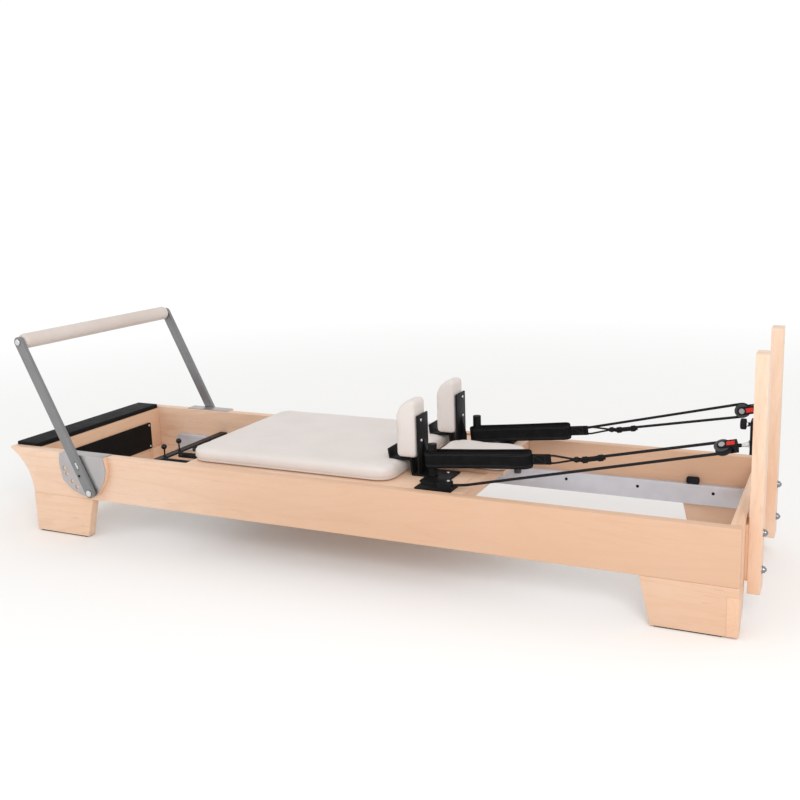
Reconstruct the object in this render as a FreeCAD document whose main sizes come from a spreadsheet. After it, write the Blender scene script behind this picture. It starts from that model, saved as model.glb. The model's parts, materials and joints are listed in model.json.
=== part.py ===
import FreeCAD, Part
import Sketcher
import math
import os
from FreeCAD import Placement, Rotation, Vector

# Pilates reformer, millimetres. +X runs from the foot end to the head end, +Z is up, and
# +Y is the left side for someone standing at the foot end and looking along the machine.
# The origin is on the floor, under the middle.

os.makedirs("parts", exist_ok=True)
doc = FreeCAD.newDocument("reformer")
sheet = doc.addObject("Spreadsheet::Sheet", "Sizes")
SIDES = (("left", 1), ("right", -1))
pieces = {}


class Size:
    """A length that knows its number and the spreadsheet expression that drives it."""

    def __init__(self, value, text):
        self.value = value
        self.text = text

    def __add__(self, other):
        other = as_size(other)
        return Size(self.value + other.value, f"({self.text} + {other.text})")

    def __sub__(self, other):
        other = as_size(other)
        return Size(self.value - other.value, f"({self.text} - {other.text})")

    def __mul__(self, other):
        other = as_size(other)
        return Size(self.value * other.value, f"({self.text} * {other.text})")

    def __truediv__(self, other):
        other = as_size(other)
        return Size(self.value / other.value, f"({self.text} / {other.text})")

    def __neg__(self):
        return self * -1

    def __radd__(self, other):
        return as_size(other) + self

    def __rsub__(self, other):
        return as_size(other) - self


def as_size(amount):
    """A plain number becomes a size with that number as its expression."""
    return amount if isinstance(amount, Size) else Size(float(amount), f"({float(amount)})")


row = 0


def size(alias, value):
    """Write one driving dimension into the spreadsheet."""
    global row
    row += 1
    sheet.set(f"A{row}", alias)
    sheet.set(f"B{row}", str(value))
    sheet.setAlias(f"B{row}", alias)
    return Size(float(value), f"Sizes.{alias}")


# ---------------------------------------------------------------- driving dimensions

rail_length = size("rail_length", 2400)
frame_width = size("frame_width", 670)
board = size("board_thickness", 30)
rail_top = size("rail_top_height", 290)
rail_depth = size("rail_depth", 154)
cove_depth = size("cove_depth", 87)
cove_nose = size("cove_nose", 7)
pad_height = size("foot_pad_height", 4)
foot_leg_top = size("foot_leg_top_length", 255)
foot_leg_base = size("foot_leg_base_length", 222)
head_leg_top = size("head_leg_top_length", 250)
head_leg_base = size("head_leg_base_length", 220)
leg_lap = size("leg_lap_height", 106)
leg_end_width = size("leg_end_width", 70)
platform_depth = size("platform_depth", 95)
platform_thick = size("platform_thickness", 16)
platform_rise = size("platform_rise", 10)
fascia_inner = size("fascia_inner", 100)
fascia_drop = size("fascia_drop", 11)

riser_height = size("riser_height", 709)
riser_foot = size("riser_foot_height", 86)
riser_thick = size("riser_thickness", 32)
riser_width = size("riser_width", 69)
riser_inner = size("riser_inner", 176)
mount_plate = size("mount_plate_thickness", 8)
nut_length = size("nut_length", 12)
bolt_radius = size("bolt_radius", 5)
upper_bolt_drop = size("upper_bolt_drop", 47)
lower_bolt_drop = size("lower_bolt_drop", 146)
gap = size("fitting_gap", 0.3)
running_gap = size("running_gap", 0.05)

track_depth = size("track_depth", 22)
track_bottom = size("track_bottom_height", 129)
track_top = size("track_top_height", 192)
track_wall = size("track_wall", 3)
track_start = size("track_start", 200)
track_end_gap = size("track_end_gap", 25)
stop_length = size("stop_length", 40)
stop_height = size("stop_height", 22)
carriage_travel = size("carriage_travel", 530)
track_corner = size("track_corner_radius", 14)
track_screw_first = size("track_screw_first", 168)
track_screw_pitch = size("track_screw_pitch", 235)

spring_bar_x = size("spring_bar_position", 390)
spring_bar_width = size("spring_bar_width", 30)
spring_bar_thick = size("spring_bar_thickness", 6)
spring_bar_seat = size("spring_bar_seat", 12)
spring_radius = size("spring_radius", 10)
spring_pitch = size("spring_pitch", 80)
plunger_offset = size("plunger_offset", 40)
plunger_lift = size("plunger_lift", 8)
ball_radius = size("ball_radius", 10)

pivot_x = size("footbar_pivot_position", 364)
pivot_z = size("footbar_pivot_height", 171)
spacer_thick = size("footbar_spacer_thickness", 17)
bracket_thick = size("footbar_bracket_thickness", 3)
arm_gap = size("footbar_arm_gap", 2)
arm_thick = size("footbar_arm_thickness", 12)
arm_half = size("footbar_arm_half_width", 17)
arm_length = size("footbar_arm_length", 543)
arm_lean = size("footbar_lean_degrees", 26)
pivot_radius = size("footbar_pivot_radius", 6)
grip_radius = size("footbar_grip_radius", 25)
grip_core = size("footbar_core_radius", 15)

carriage_start = size("carriage_start", 700)
carriage_length = size("carriage_length", 945)
carriage_gap = size("carriage_side_gap", 8)
deck_top = size("deck_top_height", 285)
deck_thick = size("deck_thickness", 18)
carriage_rail = size("carriage_rail_height", 40)
carriage_board = size("carriage_board_thickness", 30)
cushion_length = size("cushion_length", 725)
cushion_thick = size("cushion_thickness", 45)
cushion_overhang = size("cushion_overhang", 5)
cushion_inset = size("cushion_side_inset", 14)
cushion_corner = size("cushion_corner_radius", 55)
wheel_radius = size("wheel_radius", 20)
wheel_width = size("wheel_width", 16)
wheel_inset = size("wheel_inset", 31)
axle_radius = size("axle_radius", 5)
roller_radius = size("roller_radius", 12)
roller_width = size("roller_width", 12)

headrest_start = size("headrest_start", 1450)
headrest_length = size("headrest_length", 265)
headrest_half = size("headrest_half_width", 106)
headrest_board = size("headrest_board_thickness", 11)
headrest_pad = size("headrest_pad_thickness", 33)
headrest_corner = size("headrest_corner_radius", 45)
hinge_radius = size("hinge_pin_radius", 2.5)
knuckle_radius = size("hinge_knuckle_radius", 5)

shoulder_x = size("shoulder_rest_face", 1460)
shoulder_inner = size("shoulder_rest_inner", 107)
shoulder_width = size("shoulder_rest_width", 82)
shoulder_depth = size("shoulder_rest_depth", 70)
shoulder_top = size("shoulder_rest_top", 516)
plate_thick = size("bracket_plate_thickness", 6)
peg_x = size("peg_position", 1508)
peg_y = size("peg_offset", 178)
peg_radius = size("peg_radius", 13)
peg_top = size("peg_top_height", 388)

loop_length = size("strap_loop_length", 312)
loop_height = size("strap_loop_height", 48)
loop_thick = size("strap_loop_thickness", 6)
web_length = size("webbing_length", 52)
web_height = size("webbing_height", 30)
web_thick = size("webbing_thickness", 4)
knot_x = size("knot_position", 1948)
knot_y = size("knot_offset", 200)
knot_radius = size("knot_radius", 9)
strap_hang_left = size("strap_height_left", 327)
strap_hang_right = size("strap_height_right", 343)
strap_rise_left = size("strap_rise_share_left", 0.63)
strap_rise_right = size("strap_rise_share_right", 0.717)
rope_radius = size("rope_radius", 4)
cleat_x = size("cleat_position", 1500)
cleat_length = size("cleat_length", 112)
cleat_rope_y = size("cleat_rope_offset", 268)
cleat_thick = size("cleat_base_thickness", 5)
cam_radius = size("cam_radius", 13)
cam_height = size("cam_height", 14)

pulley_setback = size("pulley_setback", 67)
pulley_y = size("pulley_offset", 210)
pulley_z = size("pulley_height", 458)
sheave_radius = size("sheave_radius", 21)
sheave_half = size("sheave_half_width", 9.5)
groove_depth = size("sheave_groove_depth", 7)
cheek_gap = size("cheek_gap", 1)
cheek_thick = size("cheek_thickness", 2.5)
neck_reach = size("neck_reach", 38)
knob_radius = size("knob_radius", 14)
knob_rise = size("knob_rise_above_pulley", 66)
right_block_tilt = size("right_block_tilt_degrees", -58)

# ---------------------------------------------------------------- derived places

overall = rail_length + mount_plate + riser_thick + nut_length
tip = overall / -2
head = tip + rail_length
half = frame_width / 2
inner = half - board
rail_bottom = rail_top - rail_depth
spring_bar_z = track_top + spring_bar_seat
spring_z = spring_bar_z + spring_bar_thick / 2
deck_under = deck_top - deck_thick
rail_under = deck_top - carriage_rail
deck_half = inner - carriage_gap
carriage_end = carriage_start + carriage_length
cushion_half = deck_half - cushion_inset
wheel_z = track_top + wheel_radius + gap
foot_axle = carriage_start + carriage_rail * 2.5
head_axle = carriage_end - wheel_inset
base_z = deck_top + plate_thick
shoulder_seat = deck_top + cushion_thick + 1
loop_inner = peg_radius + 3
pulley_x = rail_length - pulley_setback
cleat_rope_x = cleat_x + cleat_length + 14
cleat_rope_z = deck_top + cleat_thick + 9
rope_slope = math.degrees(math.atan2((pulley_z - cleat_rope_z).value, (pulley_x - cleat_rope_x).value))


# ---------------------------------------------------------------- building helpers

def bind(solid, prop, amount):
    """Drive one property by a size."""
    solid.setExpression(prop, as_size(amount).text)


def place(solid, x, y, z, rotation=Rotation()):
    """Put a solid at sizes of its own and turn it."""
    corner = [as_size(x), as_size(y), as_size(z)]
    solid.Placement = Placement(Vector(*[c.value for c in corner]), rotation)
    for letter, amount in zip("xyz", corner):
        bind(solid, f"Placement.Base.{letter}", amount)
    return solid


def block(x, y, z):
    """A box between pairs of sizes."""
    solid = doc.addObject("Part::Box", "block")
    for prop, (low, high) in zip(("Length", "Width", "Height"), (x, y, z)):
        bind(solid, prop, as_size(high) - low)
    return place(solid, x[0], y[0], z[0])


AXIS_TURN = {
    "x": Rotation(Vector(0, 1, 0), 90),
    "y": Rotation(Vector(1, 0, 0), -90),
    "z": Rotation(),
}


def rod(axis, start, length, radius):
    """A cylinder from its start point along a row axis."""
    solid = doc.addObject("Part::Cylinder", "rod")
    bind(solid, "Radius", radius)
    bind(solid, "Height", length)
    return place(solid, *start, AXIS_TURN[axis])


def ball(centre, radius):
    solid = doc.addObject("Part::Sphere", "ball")
    bind(solid, "Radius", radius)
    return place(solid, *centre)


def hexagon(start, length, radius):
    """A hexagonal nut along X."""
    solid = doc.addObject("Part::Prism", "hexagon")
    solid.Polygon = 6
    bind(solid, "Circumradius", radius)
    bind(solid, "Height", length)
    return place(solid, *start, AXIS_TURN["x"])


def fused(*solids):
    joined = doc.addObject("Part::MultiFuse", "fused")
    joined.Shapes = list(solids)
    return joined


def cut(base, *tools):
    result = doc.addObject("Part::Cut", "cut")
    result.Base = base
    result.Tool = tools[0] if len(tools) == 1 else grouped(*tools)
    return result


def grouped(*solids):
    group = doc.addObject("Part::Compound", "group")
    group.Links = list(solids)
    return group


def node(name, solid):
    """Keep a finished solid under its sub-part's name; like pieces share one name."""
    pieces.setdefault(name, []).append(solid)


def across(side, low, high):
    """A span of Y on one side of the middle."""
    low, high = as_size(low), as_size(high)
    return (low, high) if side > 0 else (-high, -low)


def arc_between(start, end, radius):
    """An arc of a radius from start to end; a negative radius bends it the other way."""
    chord = end - start
    middle = (start + end) * 0.5
    reach = math.sqrt(max(radius * radius - chord.Length * chord.Length / 4, 0))
    normal = Vector(-chord.y, chord.x, 0) / chord.Length
    centre = middle + normal * math.copysign(reach, radius)
    first = math.atan2(start.y - centre.y, start.x - centre.x)
    last = math.atan2(end.y - centre.y, end.x - centre.x)
    circle = Part.Circle(centre, Vector(0, 0, 1), abs(radius))
    if radius > 0:
        return Part.ArcOfCircle(circle, first, last)
    return Part.ArcOfCircle(circle, last, first)


def sketch_outline(sketch, corners):
    """A closed outline: each corner is (u, v), or (u, v, radius) where an arc follows it."""
    points = [(as_size(c[0]), as_size(c[1])) for c in corners]
    flat = [Vector(u.value, v.value, 0) for u, v in points]
    count = len(corners)
    ends = []
    for i, corner in enumerate(corners):
        start, end = flat[i], flat[(i + 1) % count]
        if len(corner) == 3:
            radius = as_size(corner[2])
            edge = sketch.addGeometry(arc_between(start, end, radius.value), False)
            bend = sketch.addConstraint(Sketcher.Constraint("Radius", edge, abs(radius.value)))
            signed = radius if radius.value > 0 else -radius
            sketch.setExpression(f"Constraints[{bend}]", signed.text)
            ends.append((edge, 1, 2) if radius.value > 0 else (edge, 2, 1))
        else:
            edge = sketch.addGeometry(Part.LineSegment(start, end), False)
            ends.append((edge, 1, 2))
    for i, (u, v) in enumerate(points):
        edge, start_end, _ = ends[i]
        before, _, before_end = ends[i - 1]
        sketch.addConstraint(Sketcher.Constraint("Coincident", before, before_end, edge, start_end))
        for kind, amount in (("DistanceX", u), ("DistanceY", v)):
            mark = sketch.addConstraint(Sketcher.Constraint(kind, -1, 1, edge, start_end, amount.value))
            sketch.setExpression(f"Constraints[{mark}]", amount.text)


def origin_plane(body, role):
    return [f for f in body.Origin.OriginFeatures if f.Role == role][0]


def pad(plane, corners, span):
    """A PartDesign pad of an outline on an origin plane, between two sizes along its normal."""
    low, high = as_size(span[0]), as_size(span[1])
    body = doc.addObject("PartDesign::Body", "body")
    sketch = body.newObject("Sketcher::SketchObject", "outline")
    sketch.AttachmentSupport = (origin_plane(body, plane + "_Plane"), [""])
    sketch.MapMode = "FlatFace"
    sketch_outline(sketch, corners)
    feature = body.newObject("PartDesign::Pad", "pad")
    feature.Profile = sketch
    feature.SideType = "Symmetric"
    bind(feature, "Length", high - low)
    body.Tip = feature
    middle = (low + high) / 2
    offset = {"XY": (0, 0, middle), "XZ": (0, middle, 0), "YZ": (middle, 0, 0)}[plane]
    return place(body, *offset)


def rounded(u, v, radius):
    """The outline of a rectangle with rounded corners."""
    (u0, u1), (v0, v1) = [(as_size(a), as_size(b)) for a, b in (u, v)]
    return [
        (u0 + radius, v0), (u1 - radius, v0, radius), (u1, v0 + radius), (u1, v1 - radius, radius),
        (u1 - radius, v1), (u0 + radius, v1, radius), (u0, v1 - radius), (u0, v0 + radius, radius),
    ]


def capsule(low, high, radius):
    """The outline of a strip along v with round ends past low and high."""
    return [
        (-radius, low, radius), (0, low - radius, radius), (radius, low),
        (radius, high, radius), (0, high + radius, radius), (-radius, high),
    ]


def tube(points, radius, bends):
    """A round tube along straight runs joined by tangent arcs."""
    edges = []
    start = points[0]
    for corner, after, bend in zip(points[1:-1], points[2:], bends):
        into = (corner - start).normalize()
        away = (after - corner).normalize()
        turn = into.getAngle(away)
        back = bend * math.tan(turn / 2)
        enter = corner - into * back
        leave = corner + away * back
        inward = (away - into).normalize()
        middle = corner + inward * (bend / math.cos(turn / 2) - bend)
        edges += [Part.LineSegment(start, enter).toShape(), Part.Arc(enter, middle, leave).toShape()]
        print(f"rope bend {math.degrees(turn):.1f} degrees, radius {bend:.1f} mm")
        start = leave
    edges.append(Part.LineSegment(start, points[-1]).toShape())
    path = Part.Wire(edges)
    section = Part.Wire([Part.Circle(points[0], points[1] - points[0], radius).toShape()])
    solid = path.makePipeShell([section], True, True)
    share = solid.Volume / (math.pi * radius * radius * path.Length)
    print(f"rope length {path.Length:.0f} mm, volume against section times length {share:.4f}")
    return solid


# ---------------------------------------------------------------- wooden frame

cove_height = rail_top - cove_nose - rail_bottom
cove_radius = (cove_depth * cove_depth + cove_height * cove_height) / (cove_depth * 2)
bolt_heights = (rail_top - upper_bolt_drop, rail_top - lower_bolt_drop)
bolt_y = riser_inner + riser_width / 2

for name, side in SIDES:
    rail = pad("XZ", [
        (tip, rail_top), (tip, rail_top - cove_nose, cove_radius * -1),
        (tip + cove_depth, rail_bottom), (head, rail_bottom), (head, rail_top),
    ], across(side, inner, half))
    node("side_rails", rail)

    foot_board = pad("XZ", [
        (tip + cove_depth, rail_bottom), (tip + cove_depth, pad_height),
        (tip + cove_depth + foot_leg_base, pad_height), (tip + cove_depth + foot_leg_top, rail_bottom),
    ], across(side, inner, half))
    node("foot_leg_sides", foot_board)

    head_board = pad("XZ", [
        (head - head_leg_top, rail_bottom), (head - head_leg_base, pad_height),
        (head - board, pad_height), (head - board, pad_height + leg_lap),
        (head, pad_height + leg_lap), (head, rail_bottom),
    ], across(side, inner, half))
    node("head_leg_sides", head_board)

    narrow = inner - leg_end_width
    taper = [
        (inner, rail_bottom), (narrow, rail_bottom), (narrow + 8, pad_height + 46),
        (inner - 5, pad_height),
    ]
    lapped = taper + [(half, pad_height), (half, pad_height + leg_lap), (inner, pad_height + leg_lap)]
    plain = taper + [(inner, pad_height)]
    signed = [[(u * side, v) for u, v in outline] for outline in (plain, lapped)]
    foot_end = pad("YZ", signed[0], (tip + cove_depth, tip + cove_depth + board))
    head_end = pad("YZ", signed[1], (head - board, head))
    node("foot_leg_ends", foot_end)
    node("head_leg_ends", head_end)

pads = []
for name, side in SIDES:
    for start, length in ((cove_depth, foot_leg_base), (rail_length - head_leg_base, head_leg_base - board)):
        pads.append(block((tip + start + 10, tip + start + length - 10), across(side, inner + 3, half - 3),
                          (0, pad_height)))
node("foot_pads", grouped(*pads))

fascia = pad("XZ", [
    (tip, rail_top + platform_rise - platform_thick), (tip, rail_top - cove_nose, cove_radius * -1),
    (tip + cove_depth, rail_bottom), (tip + cove_depth, rail_bottom - fascia_drop),
    (tip + fascia_inner, rail_bottom - fascia_drop),
    (tip + fascia_inner, rail_top + platform_rise - platform_thick),
], (-inner, inner))
node("foot_end_board", cut(fascia, *[
    block((tip + cove_depth - 1, tip + fascia_inner + 1), across(side, inner - leg_end_width - 1, inner + 1),
          (rail_bottom - fascia_drop - 1, rail_bottom)) for _, side in SIDES
]))
platform = pad("XZ", rounded((tip, tip + platform_depth),
                             (rail_top + platform_rise - platform_thick, rail_top + platform_rise), 4),
               (-inner, inner))
node("standing_platform", platform)

panel_x = tip + fascia_inner
panel_half = inner - 60
panel_z = (rail_bottom + 1, rail_top - 50)
node("foot_end_panel", pad("YZ", rounded((-panel_half, panel_half), panel_z, 6), (panel_x, panel_x + 6)))
node("panel_screws", grouped(*[
    rod("x", (panel_x + 6, y * (panel_half - 10), z), 2, 4)
    for y in (Size(1, "1"), Size(-1, "-1")) for z in (panel_z[0] + 10, panel_z[1] - 10)
]))

end_board = block((head - board, head), (-inner, inner), (rail_bottom - 16, rail_top))
leg_room = [
    block((head - board - 1, head + 1), across(side, inner - leg_end_width - 1, inner + 1),
          (rail_bottom - 17, rail_bottom)) for _, side in SIDES
]
bolt_holes = [
    rod("x", (head - board - 1, bolt_y * side, z), board + mount_plate + riser_thick + 2, bolt_radius + gap)
    for _, side in SIDES for z in bolt_heights
]
node("head_end_board", cut(end_board, *leg_room, *bolt_holes))

# ---------------------------------------------------------------- pulley risers

riser_x = head + mount_plate
riser_outer = riser_inner + riser_width
slider_z = (pulley_z - 8, pulley_z + 78)
for name, side in SIDES:
    holes = [rod("x", (head - 1, bolt_y * side, z), mount_plate + riser_thick + 2, bolt_radius + gap)
             for z in bolt_heights]
    riser = pad("YZ", rounded(across(side, riser_inner, riser_outer), (riser_foot, riser_height), 5),
                (riser_x, riser_x + riser_thick))
    node("risers", cut(riser, *holes))

plate_holes = [rod("x", (head - 1, bolt_y * side, z), mount_plate + 2, bolt_radius + gap)
               for _, side in SIDES for z in bolt_heights]
mounts = [
    block((head, riser_x), across(side, riser_inner + 4, riser_outer - 4), (rail_bottom - 16, rail_top - 20))
    for _, side in SIDES
]
for index, (_, side) in enumerate(SIDES):
    mounts[index] = cut(mounts[index], *plate_holes[2 * index:2 * index + 2])
node("riser_mount_plates", grouped(*mounts))

bolts = []
for _, side in SIDES:
    for z in bolt_heights:
        y = bolt_y * side
        bolts.append(fused(
            rod("x", (head - board - 4, y, z), 4, bolt_radius * 2),
            rod("x", (head - board - 2, y, z), board + mount_plate + riser_thick + 4, bolt_radius),
            rod("x", (riser_x + riser_thick, y, z), 2, bolt_radius * 2.2),
            hexagon((riser_x + riser_thick + 2, y, z), 6, bolt_radius * 1.8),
            rod("x", (riser_x + riser_thick + 8, y, z), nut_length - 8, bolt_radius * 1.2),
        ))
node("riser_bolts", grouped(*bolts))

# ---------------------------------------------------------------- aluminium tracks and stops

track_end = rail_length - board - track_end_gap
foot_stop_end = foot_axle - wheel_radius - 0.5
head_stop = head_axle + wheel_radius + carriage_travel
for name, side in SIDES:
    outer = pad("XZ", [
        (tip + track_start + track_corner, track_bottom), (tip + track_end, track_bottom),
        (tip + track_end, track_top), (tip + track_start + track_corner, track_top, track_corner),
        (tip + track_start, track_top - track_corner),
        (tip + track_start, track_bottom + track_corner, track_corner),
    ], across(side, inner - track_depth, inner))
    hollow = block((tip + track_start - 1, tip + track_end + 1),
                   across(side, inner - track_depth + track_wall, inner - track_wall),
                   (track_bottom + track_wall, track_top - track_wall))
    node("tracks", cut(outer, hollow))

screws = []
for _, side in SIDES:
    face = (inner - track_depth) * side
    for index in range(9):
        screws.append(rod("y", (tip + track_start + track_screw_first + track_screw_pitch * index,
                                face - 2 if side > 0 else face, track_top - 23), 2, 5))
node("track_screws", grouped(*screws))

stops = []
for _, side in SIDES:
    seat = across(side, inner - track_depth + 2, inner - gap)
    for start, end in ((foot_stop_end - stop_length, foot_stop_end), (head_stop, head_stop + stop_length)):
        stops.append(block((tip + start, tip + end), seat, (track_top, track_top + stop_height)))
node("stop_bumpers", grouped(*stops))

# ---------------------------------------------------------------- spring bar and springs

bar_x = tip + spring_bar_x
bar_end = bar_x + spring_bar_width
bar_top = spring_bar_z + spring_bar_thick
plunger_x = bar_x + spring_bar_width / 2
stem_radius = 2.5
spring_ys = [spring_pitch * step for step in (-2, -1, 0, 1, 2)]

node("spring_bar", cut(
    block((bar_x, bar_end), (-inner, inner), (spring_bar_z, bar_top)),
    *[rod("z", (plunger_x, plunger_offset * side, spring_bar_z - 1), spring_bar_thick + 2, stem_radius + gap)
      for _, side in SIDES]))
node("spring_bar_seats", grouped(*[
    block((bar_x - 10, bar_end + 10), across(side, inner - track_depth + 1, inner),
          (track_top, spring_bar_z))
    for _, side in SIDES]))
for name, side in SIDES:
    y = plunger_offset * side
    collar_z = spring_bar_z - plunger_lift - 3
    node(f"bar_plunger_{name}", fused(
        rod("z", (plunger_x, y, collar_z), 3, 5),
        rod("z", (plunger_x, y, collar_z), plunger_lift + spring_bar_thick + 34, stem_radius),
        rod("z", (plunger_x, y, bar_top + gap), 3, 5),
        ball((plunger_x, y, bar_top + 34), ball_radius)))

anchor_x = tip + carriage_start + 60
spring_start = bar_end + gap
spring_end = anchor_x - gap
for y in spring_ys:
    node("springs", rod("x", (spring_start, y, spring_z), spring_end - spring_start, spring_radius))

# ---------------------------------------------------------------- footbar and its brackets

spacer_y = half + spacer_thick
bracket_y = spacer_y + bracket_thick
arm_y = bracket_y + arm_gap
pivot = tip + pivot_x
shield = [
    (pivot - 127, rail_top), (pivot - 131, pivot_z + 87), (pivot - 121, pivot_z + 32),
    (pivot - 86, pivot_z + 1), (pivot - 45, pivot_z - 15), (pivot - 3, pivot_z - 21),
    (pivot + 20, pivot_z - 8), (pivot + 35, pivot_z + 14), (pivot + 55, pivot_z + 43),
    (pivot + 63, pivot_z + 78), (pivot + 56, rail_top),
]
notch_centres = ((-111, 71), (-101, 52), (-82, 29), (-63, 11))
lean = Rotation(Vector(0, 1, 0), -arm_lean.value)
lean_x, lean_z = math.sin(math.radians(arm_lean.value)), math.cos(math.radians(arm_lean.value))

for name, side in SIDES:
    pin_start = half if side > 0 else -(arm_y + arm_thick + 0.5)
    pin_hole = rod("y", (pivot, pin_start, pivot_z), arm_y + arm_thick + 0.5 - half, pivot_radius + gap)
    spacer = pad("XZ", shield, across(side, half, spacer_y))
    node("footbar_spacers", cut(spacer, pin_hole))

    face = pad("XZ", shield, across(side, spacer_y, bracket_y))
    flange = block((pivot - 127, pivot + 56), across(side, half - 24, bracket_y), (rail_top, rail_top + 2.5))
    notches = [
        rod("y", (pivot + x, spacer_y if side > 0 else -bracket_y, pivot_z + z), bracket_thick, 7)
        for x, z in notch_centres]
    face_hole = rod("y", (pivot, pin_start, pivot_z), arm_y + arm_thick + 0.5 - half, pivot_radius + gap)
    node("footbar_brackets", cut(fused(face, flange), face_hole, *notches))

    head_y = across(side, arm_y + arm_thick + 0.5, arm_y + arm_thick + 4.5)
    pin = fused(
        rod("y", (pivot, pin_start, pivot_z), arm_y + arm_thick + 0.5 - half, pivot_radius),
        rod("y", (pivot, head_y[0], pivot_z), 4, pivot_radius * 1.7))
    node("footbar_pivots", pin)

    low, high = across(side, arm_y, arm_y + arm_thick)
    blank = pad("XZ", capsule(as_size(0), arm_length, arm_half), (low, high))
    bores = [
        rod("y", (0, low - 1, 0), arm_thick + 2, pivot_radius + running_gap),
        rod("y", (0, low - 1, arm_length), arm_thick + 2, 5 + gap),
        rod("y", (-8, low - 1, 65), arm_thick + 2, 5),
        pad("XZ", capsule(as_size(88), as_size(110), as_size(4)), (low - 1, high + 1)),
    ]
    arm = cut(blank, *bores)
    node("footbar_arms", place(arm, pivot, 0, pivot_z, lean))

bar_axis_x = pivot - arm_length * lean_x
bar_axis_z = pivot_z + arm_length * lean_z
core = rod("y", (bar_axis_x, -arm_y, bar_axis_z), arm_y * 2, grip_core)
core_holes = [rod("y", (bar_axis_x, across(side, arm_y - 20, arm_y)[0], bar_axis_z), 20, 5 + gap)
              for _, side in SIDES]
node("footbar_core", cut(core, *core_holes))
grip_half = arm_y - 3
sleeve = rod("y", (bar_axis_x, -grip_half, bar_axis_z), grip_half * 2, grip_radius)
sleeve_bore = rod("y", (bar_axis_x, -grip_half - 1, bar_axis_z), grip_half * 2 + 2, grip_core + gap)
node("footbar_grip", cut(sleeve, sleeve_bore))
end_bolts = []
for _, side in SIDES:
    shank = across(side, arm_y - 19, arm_y + arm_thick)
    cap = across(side, arm_y + arm_thick, arm_y + arm_thick + 4)
    end_bolts.append(fused(
        rod("y", (bar_axis_x, shank[0], bar_axis_z), arm_thick + 19, 5),
        rod("y", (bar_axis_x, cap[0], bar_axis_z), 4, 10)))
node("footbar_end_bolts", grouped(*end_bolts))

# ---------------------------------------------------------------- carriage

car_x = tip + carriage_start
car_end = tip + carriage_end
board_span = (car_x + carriage_board, car_end - carriage_board)
node("carriage_deck", block(board_span, (-deck_half, deck_half), (deck_under, deck_top)))
for name, start in (("foot", car_x), ("head", car_end - carriage_board)):
    node("carriage_end_boards", pad(
        "XZ", rounded((start, start + carriage_board), (rail_under, deck_top), 3), (-deck_half, deck_half)))
bracket_outer = inner - track_depth - 2
bracket_inner = bracket_outer - 15
for name, side in SIDES:
    node("carriage_rails", block(
        board_span, across(side, bracket_inner - 6, bracket_outer + 8), (rail_under, deck_under)))

cushion = pad("XY", rounded((car_x - cushion_overhang, car_x - cushion_overhang + cushion_length),
                            (-cushion_half, cushion_half), cushion_corner),
              (deck_top + gap, deck_top + cushion_thick))
node("carriage_cushion", cushion)

roller_y = inner - track_depth - gap - roller_radius
roller_z = track_top - roller_width - 2
bracket_low = track_top + 10
wheel_y = (inner - track_depth + 3, inner - track_depth + 3 + wheel_width)
brackets = []
wheel_sets = {"foot": foot_axle, "head": head_axle}
for end, axle in wheel_sets.items():
    wheels = []
    for name, side in SIDES:
        low, high = across(side, *wheel_y)
        axle_span = across(side, bracket_outer, wheel_y[1] + 1)
        centre = tip + axle
        brackets.append(fused(
            block((centre - 26, centre + 26), across(side, bracket_inner, bracket_outer),
                  (bracket_low, rail_under)),
            rod("y", (centre, axle_span[0], wheel_z), wheel_y[1] + 1 - bracket_outer, axle_radius),
            rod("z", (centre, roller_y * side, roller_z - 2), bracket_low - roller_z + 3, axle_radius - 1),
        ))
        tyre = rod("y", (centre, low, wheel_z), wheel_width, wheel_radius)
        bore = rod("y", (centre, low - 1, wheel_z), wheel_width + 2, axle_radius + running_gap)
        wheels.append(cut(tyre, bore))
        roller = rod("z", (centre, roller_y * side, roller_z), roller_width, roller_radius)
        roller_bore = rod("z", (centre, roller_y * side, roller_z - 1), roller_width + 2,
                          axle_radius - 1 + running_gap)
        node(f"guide_roller_{end}_{name}", cut(roller, roller_bore))
    node(f"wheels_{end}", grouped(*wheels))
node("wheel_brackets", grouped(*brackets))
node("spring_anchor", block((anchor_x, anchor_x + 6), (spring_ys[0] - 25, spring_ys[-1] + 25),
                            (spring_z - 14, deck_under)))

# ---------------------------------------------------------------- headrest

rest_x = tip + headrest_start
hinge_x = rest_x + 6
hinge_z = deck_top + headrest_board / 2 + gap
lugs = []
for _, side in SIDES:
    lugs.append(block((hinge_x - 6, hinge_x + 6), across(side, 62, 76), (deck_top, hinge_z)))
    lugs.append(rod("y", (hinge_x, across(side, 62, 76)[0], hinge_z), 14, knuckle_radius))
hinge_pin = rod("y", (hinge_x, -76, hinge_z), 152, hinge_radius)
node("headrest_hinge", fused(*lugs, hinge_pin))
plank = block((hinge_x + 8, rest_x + headrest_length - 18), (12 - headrest_half, headrest_half - 12),
              (deck_top + gap, deck_top + gap + headrest_board))
web = block((hinge_x, hinge_x + 10), (-58, 58), (deck_top + gap * 2, deck_top + headrest_board))
barrel = rod("y", (hinge_x, -58, hinge_z), 116, knuckle_radius)
barrel_bore = rod("y", (hinge_x, -59, hinge_z), 118, hinge_radius + running_gap)
node("headrest_board", cut(fused(plank, web, barrel), barrel_bore))
pad_low = deck_top + headrest_board + gap * 2
pad_outline = rounded((rest_x, rest_x + headrest_length), (-headrest_half, headrest_half), headrest_corner)
node("headrest_pad", pad("XY", pad_outline, (pad_low, pad_low + headrest_pad)))

# ---------------------------------------------------------------- shoulder rests, pegs and cleats

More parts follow.
